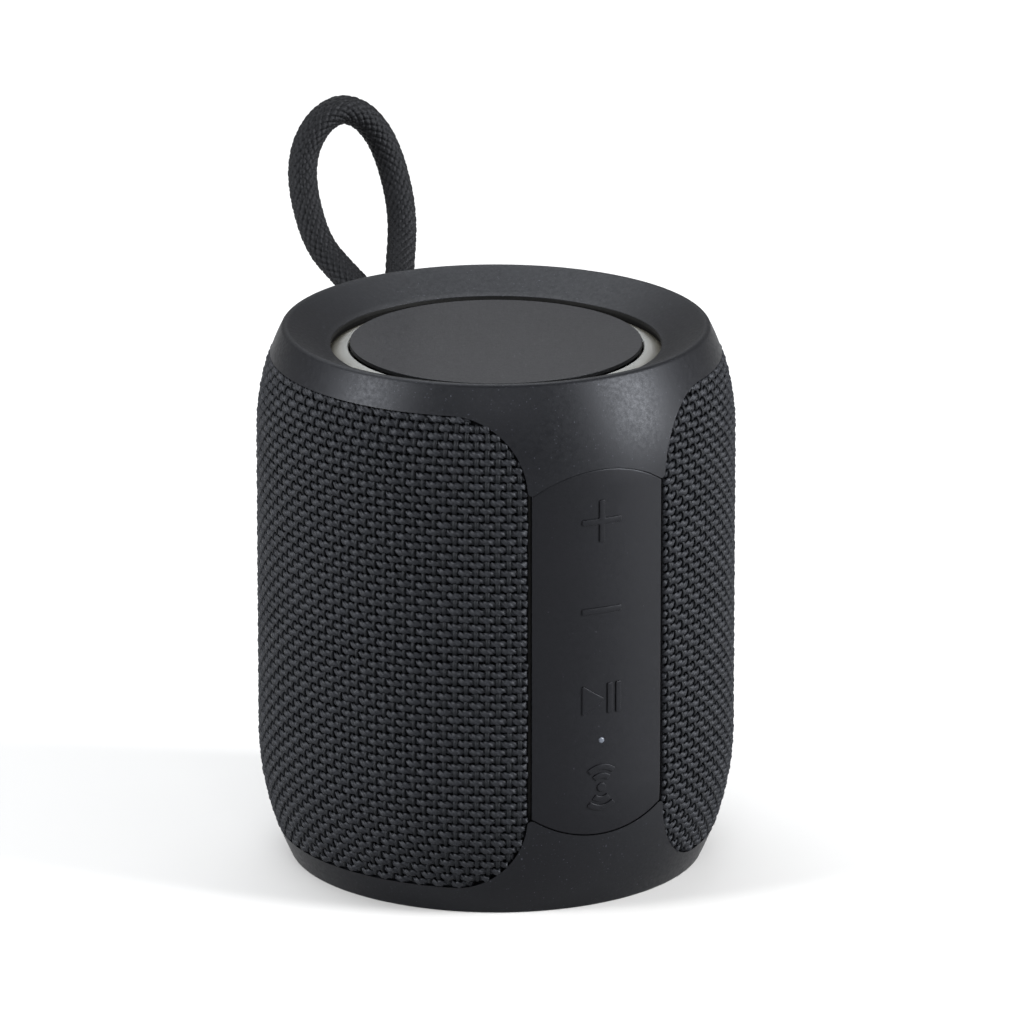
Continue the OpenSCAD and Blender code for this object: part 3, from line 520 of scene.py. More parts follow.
class Profile:
    """The closed section of the rubber frame. w is the height on the flank and runs on past the rim
    with the length of the outline."""

    def __init__(self):
        rim_z = BODY_H - RIM_R
        reach = HIGH_FLANK_R - RIM_R
        rim_x = BODY_R - HIGH_FLANK_R + math.sqrt(reach ** 2 - (rim_z - HIGH_FLANK_Z) ** 2)
        rim_a0 = math.asin((rim_z - HIGH_FLANK_Z) / reach)
        lip_top = (OPENING_R + 0.12, LIP_Z)
        slope = math.atan(FUNNEL_DROP / (rim_x - OPENING_R))
        for _ in range(6):
            slope = math.atan((rim_z + RIM_R * math.cos(slope) - lip_top[1])
                              / (rim_x - RIM_R * math.sin(slope) - lip_top[0]))
        rim_a1 = math.pi / 2 + slope
        rim_end = arc_about((rim_x, rim_z), RIM_R, rim_a0, rim_a1)(1)
        self.flank_top = HIGH_FLANK_Z + HIGH_FLANK_R * math.sin(rim_a0)
        outer_foot = flank(FOOT_Z)[0]
        inner_top = inner_flank(INNER_TOP_Z)
        inner_low = inner_flank(BASE_RING_T)
        skirt_out = SKIRT_R + SKIRT_T
        before = [
            *legs([1], (BASE_RING_R, BASE_RING_T), (BASE_RING_R, BASE_ROUND)),
            (bend_between((BASE_RING_R, BASE_ROUND), (BASE_RING_R, 0),
                          (BASE_RING_R + BASE_ROUND, 0)), 4),
            *legs([1], (BASE_RING_R + BASE_ROUND, 0), (outer_foot - 0.6, 0)),
            (bend_between((outer_foot - 0.6, 0), (outer_foot - 0.2, 0), (outer_foot, FOOT_Z)), 5),
        ]
        after = [
            (arc_about((rim_x, rim_z), RIM_R, rim_a0, rim_a1), 14),
            *legs([7], rim_end, lip_top),
            (bend_between(lip_top, (OPENING_R, LIP_Z), (OPENING_R, LIP_Z - LIP_ROUND)), 4),
            *legs([1, 1, 2, 1, 1, 3], (OPENING_R, LIP_Z - LIP_ROUND), (OPENING_R, LIP_Z - LIP_T),
                  (SKIRT_R, LIP_Z - LIP_T), (SKIRT_R, SKIRT_Z), (skirt_out, SKIRT_Z),
                  (skirt_out, SHELF_Z), inner_top),
        ]
        self.r, self.z, self.w, self.rows = [], [], [], []
        self.at = FOOT_Z - sum(self.length(f) for f, _ in before)
        for f, n in before:
            self.walk(f, n)
        rise = self.flank_top - FOOT_Z
        self.walk(lambda t: (flank(FOOT_Z + t * rise)[0], FOOT_Z + t * rise), FLANK_ROWS, rise)
        for f, n in after:
            self.walk(f, n)
        self.inner_start = self.at
        drop = INNER_TOP_Z - BASE_RING_T
        self.walk(lambda t: inner_flank(INNER_TOP_Z - drop * t), INNER_ROWS, drop)
        self.walk(line_between(inner_low, (BASE_RING_R, BASE_RING_T)), 2)
        self.rows.append(self.at)
        self.r, self.z, self.w = (np.concatenate(x) for x in (self.r, self.z, self.w))
        keep = np.concatenate([[True], np.diff(self.w) > 1e-9])
        self.r, self.z, self.w = self.r[keep], self.z[keep], self.w[keep]

    def length(self, f):
        x, y = sampled(f, np.linspace(0, 1, 33))
        return float(np.hypot(np.diff(x), np.diff(y)).sum())

    def walk(self, f, rows, span=None):
        """Adds a stretch of the outline, divided into rows; span is how much w grows along it."""
        span = span or self.length(f)
        t = np.linspace(0, 1, rows * 6 + 1)
        x, y = sampled(f, t)
        self.r.append(x)
        self.z.append(y)
        self.w.append(self.at + span * t)
        self.rows += [self.at + span * i / rows for i in range(rows)]
        self.at += span

    def inner(self, z):
        """w on the inside of the flank behind height z."""
        return self.inner_start + (INNER_TOP_Z - np.asarray(z, float))

    def place(self, u, w):
        """Points in space for places on the outline."""
        return turned(np.interp(w, self.w, self.r), u, np.interp(w, self.w, self.z))


def on_barrel(u, z, depth=0.0):
    """Points in space for places on the flank."""
    radius, n_r, n_z = flank(z)
    return turned(radius - depth * n_r, np.asarray(u, float), z - depth * n_z)


def spaced_line(a, b, step):
    n = max(1, math.ceil(math.dist(a, b) / step))
    return [(a[0] + (b[0] - a[0]) * i / n, a[1] + (b[1] - a[1]) * i / n) for i in range(n)]


def spaced_arc(centre, radius, a0, a1, step):
    """Points along an arc, angles in degrees, without its last point."""
    n = max(3, math.ceil(abs(math.radians(a1 - a0)) * radius / step))
    angles = [math.radians(a0 + (a1 - a0) * i / n) for i in range(n)]
    return [(centre[0] + radius * math.cos(a), centre[1] + radius * math.sin(a)) for a in angles]


def circles_meet(c0, r0, c1, r1, side):
    """The meeting point of two circles that lies to the given side of the line between them."""
    d = math.dist(c0, c1)
    along = (d * d + r0 * r0 - r1 * r1) / (2 * d)
    off = math.sqrt(max(0, r0 * r0 - along * along)) * side
    ux, uy = (c1[0] - c0[0]) / d, (c1[1] - c0[1]) / d
    return c0[0] + along * ux - off * uy, c0[1] + along * uy + off * ux


def angle_to(centre, point):
    return math.degrees(math.atan2(point[1] - centre[1], point[0] - centre[0]))


def front_opening():
    """Right half of the frame's front opening, which joins a window and half of the pad: an open
    line of (u, z) from the middle of the pad's lower arc round to the middle of its upper arc."""
    edge = HALF_TURN / 2 - WINDOW_HALF
    far = HALF_TURN - edge
    low_z, high_z = WINDOW_Z0 + WINDOW_CORNER, WINDOW_Z1 - WINDOW_CORNER
    arc_r = PAD_ARC + PAD_GAP
    arc_low, arc_high = (HALF_TURN, PAD_Z0 + PAD_ARC), (HALF_TURN, PAD_Z1 - PAD_ARC)
    near_u, back_u = far - WINDOW_CORNER, edge + WINDOW_CORNER
    near_low, near_high = (near_u, low_z), (near_u, high_z)
    tip_low = circles_meet(arc_low, arc_r + TIP_R, near_low, WINDOW_CORNER + TIP_R, 1)
    tip_high = circles_meet(arc_high, arc_r + TIP_R, near_high, WINDOW_CORNER + TIP_R, -1)
    line = spaced_arc(arc_low, arc_r, 270, 360 + angle_to(arc_low, tip_low), STEP)
    line += spaced_arc(tip_low, TIP_R, angle_to(tip_low, arc_low), angle_to(tip_low, near_low),
                       TIP_STEP)
    line += spaced_arc(near_low, WINDOW_CORNER, angle_to(near_low, tip_low), -90, STEP)
    line += spaced_line((near_u, WINDOW_Z0), (back_u, WINDOW_Z0), STEP)
    line += spaced_arc((back_u, low_z), WINDOW_CORNER, 270, 180, STEP)
    line += spaced_line((edge, low_z), (edge, high_z), STEP)
    line += spaced_arc((back_u, high_z), WINDOW_CORNER, 180, 90, STEP)
    line += spaced_line((back_u, WINDOW_Z1), (near_u, WINDOW_Z1), STEP)
    line += spaced_arc(near_high, WINDOW_CORNER, 90, angle_to(near_high, tip_high), STEP)
    line += spaced_arc(tip_high, TIP_R, angle_to(tip_high, near_high), angle_to(tip_high, arc_high),
                       TIP_STEP)
    line += spaced_arc(arc_high, arc_r, angle_to(arc_high, tip_high), 90, STEP)
    line.append((HALF_TURN, PAD_Z1 + PAD_GAP))
    return np.array(line)


def rounded_box(half_w, z0, z1, corner, step=0.5):
    """Closed outline of a rounded rectangle about u = 0, counter-clockwise."""
    x0, x1, y0, y1 = corner - half_w, half_w - corner, z0 + corner, z1 - corner
    line = []
    for centre, angle, start, end in (((x1, y0), -90, (half_w, y0), (half_w, y1)),
                                      ((x1, y1), 0, (x1, z1), (x0, z1)),
                                      ((x0, y1), 90, (-half_w, y1), (-half_w, y0)),
                                      ((x0, y0), 180, (x0, z0), (x1, z0))):
        line += spaced_arc(centre, corner, angle, angle + 90, step / 2)
        line += spaced_line(start, end, step)
    return np.array(line)


def normals_of(line, closed):
    """Unit normals to the left of a line of 2D points."""
    before = np.roll(line, 1, axis=0)
    after = np.roll(line, -1, axis=0)
    if not closed:
        before[0], after[-1] = line[0], line[-1]
    way = after - before
    way /= np.linalg.norm(way, axis=1)[:, None]
    return np.stack([-way[:, 1], way[:, 0]], -1)


def rolled_edge(line, out, radius, closed):
    """Rings of (u, w, depth) that round an opening's edge: from the surface, radius away from the
    line on its outer side, down to the line itself at a depth of radius."""
    normals = normals_of(line, closed) * out
    if not closed:
        for end in (0, -1):
            normals[end] = (0, normals[end][1] / abs(normals[end][1]))
    rings = []
    for k in range(EDGE_STEPS + 1):
        a = math.pi / 2 * k / EDGE_STEPS
        moved = line + normals * radius * (1 - math.sin(a))
        rings.append(np.column_stack([moved, np.full(len(line), radius * (1 - math.cos(a)))]))
    return rings


def seam_lines(rows, gaps):
    """The skin's two edges at the middle of the front, which the front openings interrupt. gaps
    holds (side, low, high) for each opening on each edge."""
    lines = []
    for side, sign in ((0, 1), (1, -1)):
        cuts = sorted(g[1:] for g in gaps if g[0] == side)
        spans = [(rows[0], cuts[0][0]), (cuts[0][1], cuts[1][0]), (cuts[1][1], rows[-1])]
        for low, high in spans:
            between = rows[(rows > low + 0.05) & (rows < high - 0.05)]
            ends = np.concatenate([[low], between, [high]])
            lines.append((np.column_stack([np.full(len(ends), sign * HALF_TURN), ends]), False))
    return lines


def frame_shell():
    """The rubber-coated frame: one closed skin with its openings rounded."""
    profile = Profile()
    shell = Sheets()
    right = front_opening()
    left = right * [-1, 1]
    openings = [(right, -1, EDGE_R, False), (left, 1, EDGE_R, False),
                (rounded_box(POCKET_HALF, *POCKET_Z, POCKET_CORNER), -1, SMALL_EDGE_R, True),
                (rounded_box(FLAP_HALF, *FLAP_Z, FLAP_CORNER), -1, SMALL_EDGE_R, True)]
    outer_loops, inner_loops = [], []
    for line, out, radius, closed in openings:
        rings = rolled_edge(line, out, radius, closed)
        outer_loops.append(rings[0][:, :2])
        inner_w = profile.inner(line[:, 1])
        inner_loops.append(np.column_stack([line[:, 0], inner_w]))
        points = [on_barrel(ring[:, 0], ring[:, 1], ring[:, 2]) for ring in rings]
        points[0] = profile.place(rings[0][:, 0], rings[0][:, 1])
        points.append(profile.place(line[:, 0], inner_w))
        shell.add_rings(points, closed)
    rows = np.array(profile.rows)
    columns = np.linspace(-HALF_TURN, HALF_TURN, SHELL_COLUMNS + 1)
    lines = [(loops[i], True) for loops in (outer_loops, inner_loops) for i in (2, 3)]
    gaps = []
    for side in (0, 1):
        for loops in (outer_loops, inner_loops):
            line = loops[side]
            lines.append((line, False))
            gaps.append((side, *sorted((line[0][1], line[-1][1]))))
    lines += seam_lines(rows, gaps)
    for end in (rows[0], rows[-1]):
        lines.append((np.column_stack([columns, np.full(len(columns), end)]), False))
    whole = np.array([(-HALF_TURN, rows[0]), (HALF_TURN, rows[0]),
                      (HALF_TURN, rows[-1]), (-HALF_TURN, rows[-1])])
    u, w = np.meshgrid(columns[1:-1], rows[1:-1])
    grid = np.column_stack([u.ravel(), w.ravel()])
    inner_part = grid[:, 1] > profile.inner_start - 3
    odd_column = np.abs(np.round(grid[:, 0] / (columns[1] - columns[0]))) % 2 == 1
    places, faces = filled([whole, *outer_loops, *inner_loops], lines,
                           grid[~(inner_part & odd_column)], 0.42)
    shell.add(profile.place(places[:, 0], places[:, 1]), faces)
    made = shell.make("frame_shell", "soft_skin", sharp=50)
    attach(made, "root")
    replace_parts(made, "frame_skin")


def opening_liner():
    """The black wall of the top opening, just inside the rubber's lip."""
    top, low = LIP_Z - 0.12, SKIRT_Z + 0.05
    section = [(OPENING_R + 0.7, low), (OPENING_R + 0.7, top - 0.6), (OPENING_R + 0.05, top - 0.55),
               (OPENING_R + 0.02, top), (OPENING_R - 0.06, top), (OPENING_R - 0.06, top - 0.7),
               (OPENING_R + 0.5, top - 0.75), (OPENING_R + 0.5, low)]
    made = lathe("opening_liner", section, 256, "core_plastic")
    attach(made, "root")


def lathe(name, section, around, slot):
    """A closed ring from a section of (radius, height)."""
    angle = np.linspace(0, 2 * math.pi, around, endpoint=False)
    radius, height = np.array(section).T
    points = np.stack([radius[None] * np.cos(angle)[:, None], radius[None] * np.sin(angle)[:, None],
                       np.broadcast_to(height, (around, len(section)))], -1).reshape(-1, 3)
    index = np.arange(around * len(section)).reshape(around, len(section))
    index = np.vstack([index, index[:1]])
    index = np.hstack([index, index[:, :1]])
    faces = np.stack([index[:-1, :-1], index[1:, :-1], index[1:, 1:], index[:-1, 1:]], -1)
    return make_object(name, points, faces.reshape(-1, 4), slot, sharp=40)


# ---- hanging loop

CORD_D = 5.5
CORD_STEP, CORD_SIDES = 0.16, 96
STRAND_DIP = 0.50
LOOP_HALF = [
    (2.9, 42.9, 89.7), (2.9, 45.0, 91.8), (3.0, 47.0, 93.9), (3.8, 50.0, 96.4), (5.2, 53.0, 98.6),
    (6.7, 55.8, 100.9), (8.2, 58.4, 103.5), (9.2, 60.4, 106.6), (9.7, 62.4, 110.4),
    (9.7, 64.4, 114.2), (9.1, 66.2, 118.4), (7.4, 67.4, 122.8), (4.2, 68.0, 126.6),
    (0, 68.2, 128.2),
]
LOOP_ROUTE = LOOP_HALF + [(-x, y, z) for x, y, z in reversed(LOOP_HALF[:-1])]


def smooth_route(route, step):
    """Points at an even step along a smooth curve through the route's points."""
    p = np.array(route, float)
    p = np.vstack([2 * p[0] - p[1], p, 2 * p[-1] - p[-2]])
    fine = []
    for a, b, c, d in zip(p, p[1:], p[2:], p[3:]):
        t = np.linspace(0, 1, 40, endpoint=False)[:, None]
        fine.append(0.5 * (2 * b + (c - a) * t + (2 * a - 5 * b + 4 * c - d) * t ** 2
                           + (3 * b - a - 3 * c + d) * t ** 3))
    fine = np.vstack(fine + [p[-2:-1]])
    along = np.concatenate([[0], np.cumsum(np.linalg.norm(np.diff(fine, axis=0), axis=1))])
    at = np.linspace(0, along[-1], round(along[-1] / step) + 1)
    return np.column_stack([np.interp(at, along, fine[:, i]) for i in range(3)]), at


def turning_axes(line):
    """Two axes across a line at each of its points, which turn as little as they can."""
    way = np.gradient(line, axis=0)
    way /= np.linalg.norm(way, axis=1)[:, None]
    side = np.cross(way[0], (0, 0.7, -0.7))
    sides = []
    for t in way:
        side = side - t * (side @ t)
        side /= np.linalg.norm(side)
        sides.append(side)
    sides = np.array(sides)
    return sides, np.cross(way, sides)


BRAID_COLUMNS = 12
BRAID_PITCH = 2.0


def braid_height(angle, along):
    """Height of a braided cord's surface: two sets of strands that wind opposite ways and pass over
    and under each other, each strand made of two ends side by side."""
    turn = BRAID_COLUMNS * angle / (2 * math.pi)
    a, b = turn + along / BRAID_PITCH, turn - along / BRAID_PITCH
    over = np.where((np.floor(a) + np.floor(b)) % 2 == 0, 1.0, -1.0)
    fa, fb = a - np.floor(a) - 0.5, b - np.floor(b) - 0.5

    def strand(across, lift):
        body = 0.44 * np.sqrt(np.clip(1 - (2.05 * across) ** 2, 0, 1))
        groove = 0.11 * np.exp(-(across / 0.10) ** 2)
        return body - groove + lift

    return np.maximum(strand(fa, 0.20 * over * np.cos(math.pi * fb)),
                      strand(fb, -0.20 * over * np.cos(math.pi * fa)))


def hanging_loop():
    """The braided cord that the speaker hangs by."""
    line, along = smooth_route(LOOP_ROUTE, CORD_STEP)
    side, up = turning_axes(line)
    angle = np.linspace(0, 2 * math.pi, CORD_SIDES, endpoint=False)
    radius = CORD_D / 2 - STRAND_DIP + braid_height(angle[None, :], along[:, None])
    points = line[:, None] + radius[..., None] * (np.cos(angle)[None, :, None] * side[:, None]
                                                  + np.sin(angle)[None, :, None] * up[:, None])
    made = make_object("braided_loop", points.reshape(-1, 3), tube_faces(len(line), CORD_SIDES),
                       "braid")
    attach(made, "hanging_loop")
    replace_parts(made, "hanging_loop")


hanging_loop()
frame_shell()
opening_liner()

# ---- cloth

CLOTH_MID = 0.46
SCRIM_DEPTHS = (0.72, 0.84)
WARP_PITCH, WEFT_PITCH = 2.02, 1.52
WARP_SIDES, WEFT_SIDES = 6, 12
WARP_W, WARP_T, WARP_ROLL = 0.47, 0.27, 0.26
WEFT_W, WEFT_T = 0.62, 0.36
CRIMP = 0.29
PLIES = 3
PLY_TWIST = 2 * math.pi / 7.4
FRONT_REACH = 0.4
PANEL_LOW = HALF_TURN / 2 - WINDOW_HALF + PANEL_GAP
PANEL_HIGH = HALF_TURN - PANEL_LOW + FRONT_REACH
PANEL_Z = (WINDOW_Z0 + PANEL_GAP, WINDOW_Z1 - PANEL_GAP)
PANEL_CORNER = WINDOW_CORNER - PANEL_GAP
WEFT_COUNT = int((PANEL_Z[1] - PANEL_Z[0] - 0.8) / WEFT_PITCH) + 1
FIRST_WEFT = (PANEL_Z[0] + PANEL_Z[1] - (WEFT_COUNT - 1) * WEFT_PITCH) / 2
WARP_COUNT = int((PANEL_HIGH - PANEL_LOW) / WARP_PITCH)
FIRST_WARP = (PANEL_LOW + PANEL_HIGH - (WARP_COUNT - 1) * WARP_PITCH) / 2


def corner_inset(distance):
    """How far the rounded corner holds back a yarn that lies this far from a panel's side."""
    gap = max(0.0, PANEL_CORNER - distance)
    return PANEL_CORNER - math.sqrt(max(0.0, PANEL_CORNER ** 2 - gap ** 2))


def tucked(along, low, high, depth):
    """Sinks a yarn's ends behind the panel's edge."""
    near = np.minimum(along - low, high - along)
    return depth + 0.7 * np.clip(1 - near / 0.5, 0, 1) ** 2


def yarn_points(centre_u, centre_z, depth, across_u, section, width, thickness):
    """Points of a yarn's surface. section holds the angle and relative radius of each of its sides
    at each place; across_u says whether the yarn's width lies along u."""
    angle, swell = section
    wide = width * swell * np.cos(angle)
    out = thickness * swell * np.sin(angle)
    u = centre_u[:, None] + wide * across_u
    z = centre_z[:, None] + wide * (not across_u)
    return u, z, depth[:, None] - out


def add_tube(cloth, u, z, depth, sign):
    """Adds a yarn to one side's cloth; sign is that side's."""
    points = on_barrel(sign * u.ravel(), z.ravel(), depth.ravel())
    faces = tube_faces(*u.shape)
    if sign < 0:
        faces = [f[::-1] for f in faces]
    cloth.add(points, faces)


def warp_yarns(sign, draw):
    """The yarns that run up and down a panel."""
    cloth = Sheets()
    sides = np.linspace(0, 2 * math.pi, WARP_SIDES, endpoint=False)
    for i in range(WARP_COUNT):
        u = FIRST_WARP + i * WARP_PITCH
        inset = corner_inset(min(u - PANEL_LOW, PANEL_HIGH - u))
        low, high = PANEL_Z[0] + inset + 0.1, PANEL_Z[1] - inset - 0.1
        z = np.linspace(low, high, max(4, round((high - low) / WEFT_PITCH * 4)) + 1)
        beat = math.pi * (z - FIRST_WEFT) / WEFT_PITCH
        over = np.cos(beat) * (1 if i % 2 else -1)
        sway = 0.07 * np.sin(z / draw.uniform(5, 9) + draw.uniform(0, 6)) + draw.normal(0, 0.03)
        width = WARP_W * draw.uniform(0.92, 1.08)
        swell = np.ones((len(z), WARP_SIDES)) * (1 - 0.10 * over)[:, None]
        depth = tucked(z, low, high, CLOTH_MID - CRIMP * over)
        add_tube(cloth, *yarn_points(u + sway, z, depth, True, (sides[None, :] + WARP_ROLL, swell),
                                     width, WARP_T), sign)
    return cloth


def weft_yarns(sign, draw, rows):
    """The thicker plied yarns that run across a panel. rows holds the shares of the panel's height
    between which they lie."""
    cloth = Sheets()
    base = np.linspace(0, 2 * math.pi, WEFT_SIDES, endpoint=False)
    for j in range(round(rows[0] * WEFT_COUNT), round(rows[1] * WEFT_COUNT)):
        z = FIRST_WEFT + j * WEFT_PITCH
        inset = corner_inset(min(z - PANEL_Z[0], PANEL_Z[1] - z))
        low = PANEL_LOW + inset + draw.uniform(0, 0.25)
        high = PANEL_HIGH - inset - draw.uniform(0, 0.25)
        u = np.linspace(low, high, round((high - low) / WARP_PITCH * 6) + 1)
        beat = math.pi * (u - FIRST_WARP) / WARP_PITCH
        lift = CRIMP * np.cos(beat) * (-1 if j % 2 else 1)
        twist = PLY_TWIST * u * 2 + draw.uniform(0, 6)
        angle = base[None, :] + twist[:, None]
        lobes = 0.97 + 0.22 * np.cos(PLIES * base)[None, :] + draw.normal(0, 0.02, (len(u), 1))
        sway = 0.05 * np.sin(u / draw.uniform(4, 8) + draw.uniform(0, 6)) + 0.03 * np.sin(2 * beat)
        width = WEFT_W * draw.uniform(0.95, 1.05)
        depth = tucked(u, low, high, CLOTH_MID - lift)
        add_tube(cloth, *yarn_points(u, z + sway, depth, False, (angle, lobes), width, WEFT_T),
                 sign)
    return cloth


def scrim_outline():
    """Outline of a panel's dark scrim, a little inside the cloth's edge."""
    grow = -0.05
    half = (PANEL_HIGH - PANEL_LOW) / 2 + grow
    outline = rounded_box(half, PANEL_Z[0] - grow, PANEL_Z[1] + grow, PANEL_CORNER + grow, 1.5)
    return outline + [(PANEL_HIGH + PANEL_LOW) / 2, 0]


def cloth_panel(side, sign, draw):
    """One stretched panel: a dark scrim with the weave on it."""
    outline = scrim_outline()
    u, z = np.meshgrid(np.arange(PANEL_LOW + 2, PANEL_HIGH, 3.0),
                       np.arange(PANEL_Z[0] + 2, PANEL_Z[1], 3.0))
    inside = np.column_stack([u.ravel(), z.ravel()])
    places, faces = filled([outline], [(outline, True)], inside, 1.2)
    scrim = Sheets()
    for depth in SCRIM_DEPTHS:
        scrim.add(on_barrel(sign * places[:, 0], places[:, 1], depth), faces)
    scrim.add_rings([on_barrel(sign * outline[:, 0], outline[:, 1], d) for d in SCRIM_DEPTHS])
    backing = scrim.make(side + "_cloth", "cloth", sharp=40)
    pieces = [warp_yarns(sign, draw).make(side + "_warp", "cloth", material=WARP_YARN)]
    for i, name in enumerate(("low", "middle", "high")):
        yarns = weft_yarns(sign, draw, (i / 3, (i + 1) / 3))
        pieces.append(yarns.make(f"{side}_weft_{name}", "cloth", material=WEFT_YARN))
    for piece in pieces:
        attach(piece, "root")
    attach(backing, "root")
    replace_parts(backing, side + "_fabric")


for panel_side, panel_sign in (("left", -1), ("right", 1)):
    cloth_panel(panel_side, panel_sign, np.random.default_rng(7 + panel_sign))

# ---- button pad

PAD_DEPTH, PAD_WEB, PAD_EDGE = 0.12, 1.5, 0.28
EDGE_ROWS = 6
KEYS = ["volume_up", "volume_down", "play", "pairing"]
KEY_ZS = [77.4 - 17.35 * i for i in range(4)]
ICON_W, ICON_T, ICON_ROUND = 8.1, 1.1, 0.28
ICON_TOP, ICON_ROLL = -0.15, 0.12
BOW_HALF = 40
STATUS_Z = (KEY_ZS[2] + KEY_ZS[3]) / 2 + 0.55


def spread_to_edges(half, middle_step, edge):
    """Symmetric places across a strip, close together where its edge is rounded."""
    roll = [half - edge * (1 - math.cos(math.pi / 2 * k / EDGE_ROWS)) for k in range(EDGE_ROWS + 1)]
    count = math.ceil(2 * (half - edge) / middle_step)
    inner = np.linspace(-(half - edge), half - edge, count + 1)
    return np.array(sorted({round(x, 6) for x in [*inner, *roll, *(-r for r in roll)]}))


def edge_depth(distance):
    """Extra depth of a rounded edge at this distance from the border."""
    short = np.clip(PAD_EDGE - distance, 0, PAD_EDGE)
    return PAD_EDGE - np.sqrt(PAD_EDGE ** 2 - short ** 2)


def pad_piece(name, low, high):
    """A stretch of the pad between two heights, at a key's middle or where keys meet; None stands
    for the arc that ends the pad."""
    s = spread_to_edges(PAD_HALF, 0.9, PAD_EDGE)
    arc = np.sqrt(PAD_ARC ** 2 - s ** 2)
    bottom = PAD_Z0 + PAD_ARC - arc if low is None else np.full(len(s), low)
    top = PAD_Z1 - PAD_ARC + arc if high is None else np.full(len(s), high)
    share = np.linspace(0, 1, 15)
    if low is None or high is None:
        ease = 1 - (1 - np.linspace(0, 1, 24)) ** 2.2
        share = ease if high is None else 1 - ease[::-1]
    z = bottom[None, :] + share[:, None] * (top - bottom)[None, :]
    across = np.broadcast_to(s, z.shape)
    side_gap = PAD_HALF - np.abs(across)
    end_gap = np.full(z.shape, 9.0)
    if high is None:
        end_gap = PAD_ARC - np.hypot(across, z - (PAD_Z1 - PAD_ARC))
    if low is None:
        end_gap = PAD_ARC - np.hypot(across, z - (PAD_Z0 + PAD_ARC))
    depth = PAD_DEPTH + edge_depth(np.clip(np.minimum(side_gap, end_gap), 0, None))
    pad = Sheets()
    rows, columns = z.shape
    flat = (HALF_TURN - across).ravel(), z.ravel()
    pad.add(on_barrel(*flat, depth.ravel()), grid_faces(rows, columns))
    pad.add(on_barrel(*flat, PAD_WEB), grid_faces(rows, columns))
    index = np.arange(rows * columns).reshape(rows, columns)
    ring = np.concatenate([index[0, :-1], index[:-1, -1], index[-1, :0:-1], index[:0:-1, 0]])
    pad.add_rings([on_barrel(flat[0][ring], flat[1][ring], d)
                   for d in (depth.ravel()[ring], PAD_WEB)])
    made = pad.make(name, "key_rubber", sharp=60)
    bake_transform(made)
    return made


def rounded_corners(points, radius):
    """Rounds the corners of a closed outline."""
    line, count, steps = [], len(points), np.linspace(0, 1, 5)
    for i in range(count):
        p, a, b = (np.array(points[k % count], float) for k in (i, i - 1, i + 1))
        to_a, to_b = (a - p) / np.linalg.norm(a - p), (b - p) / np.linalg.norm(b - p)
        half = math.acos(max(-1, min(1, float(to_a @ to_b)))) / 2
        run = min(radius / math.tan(half), 0.49 * min(np.linalg.norm(a - p), np.linalg.norm(b - p)))
        start, end = p + to_a * run, p + to_b * run
        line += [(1 - t) ** 2 * start + 2 * t * (1 - t) * p + t * t * end for t in steps]
    return np.array(line)


def divided(line, step):
    """A closed outline with its long stretches divided."""
    return np.array([q for a, b in zip(line, np.roll(line, -1, axis=0))
                     for q in spaced_line(a, b, step)])


def bar(w, h, x=0.0):
    return [(x - w / 2, -h / 2), (x + w / 2, -h / 2), (x + w / 2, h / 2), (x - w / 2, h / 2)]


def plus(w, t):
    a, b = w / 2, t / 2
    return [(-b, -a), (b, -a), (b, -b), (a, -b), (a, b), (b, b),
            (b, a), (-b, a), (-b, b), (-a, b), (-a, -b), (-b, -b)]


def on_circle(radius, angles):
    return [(radius * math.cos(a), radius * math.sin(a)) for a in angles]


def bow(radius, middle):
    """Outline of a curved bar about the origin; middle is the angle in degrees of its middle."""
    low, high = middle - BOW_HALF, middle + BOW_HALF
    angles = [math.radians(a) for a in np.linspace(low, high, 15)]
    back = [math.radians(a) for a in np.linspace(high, low, 15)]
    outline = on_circle(radius + ICON_T / 2, angles) + on_circle(radius - ICON_T / 2, back)
    return rounded_corners(outline, 0.3)


def icon_outlines(i):
    """Outlines of a key's generic symbol, counter-clockwise, in the flat."""
    if i == 0:
        return [rounded_corners(plus(ICON_W, ICON_T), ICON_ROUND)]
    if i == 1:
        return [rounded_corners(bar(ICON_W, ICON_T), ICON_ROUND)]
    if i == 2:
        bars = [rounded_corners(bar(ICON_T, 6, x), ICON_ROUND) for x in (1.7, 3.5)]
        return [rounded_corners([(-4.0, -3.0), (0.6, 0), (-4.0, 3.0)], 0.3)] + bars
    dot = np.array(on_circle(0.9, np.linspace(0, 2 * math.pi, 28, endpoint=False)))
    return [dot] + [bow(radius, middle) for radius in (2.3, 4.0) for middle in (90, 270)]


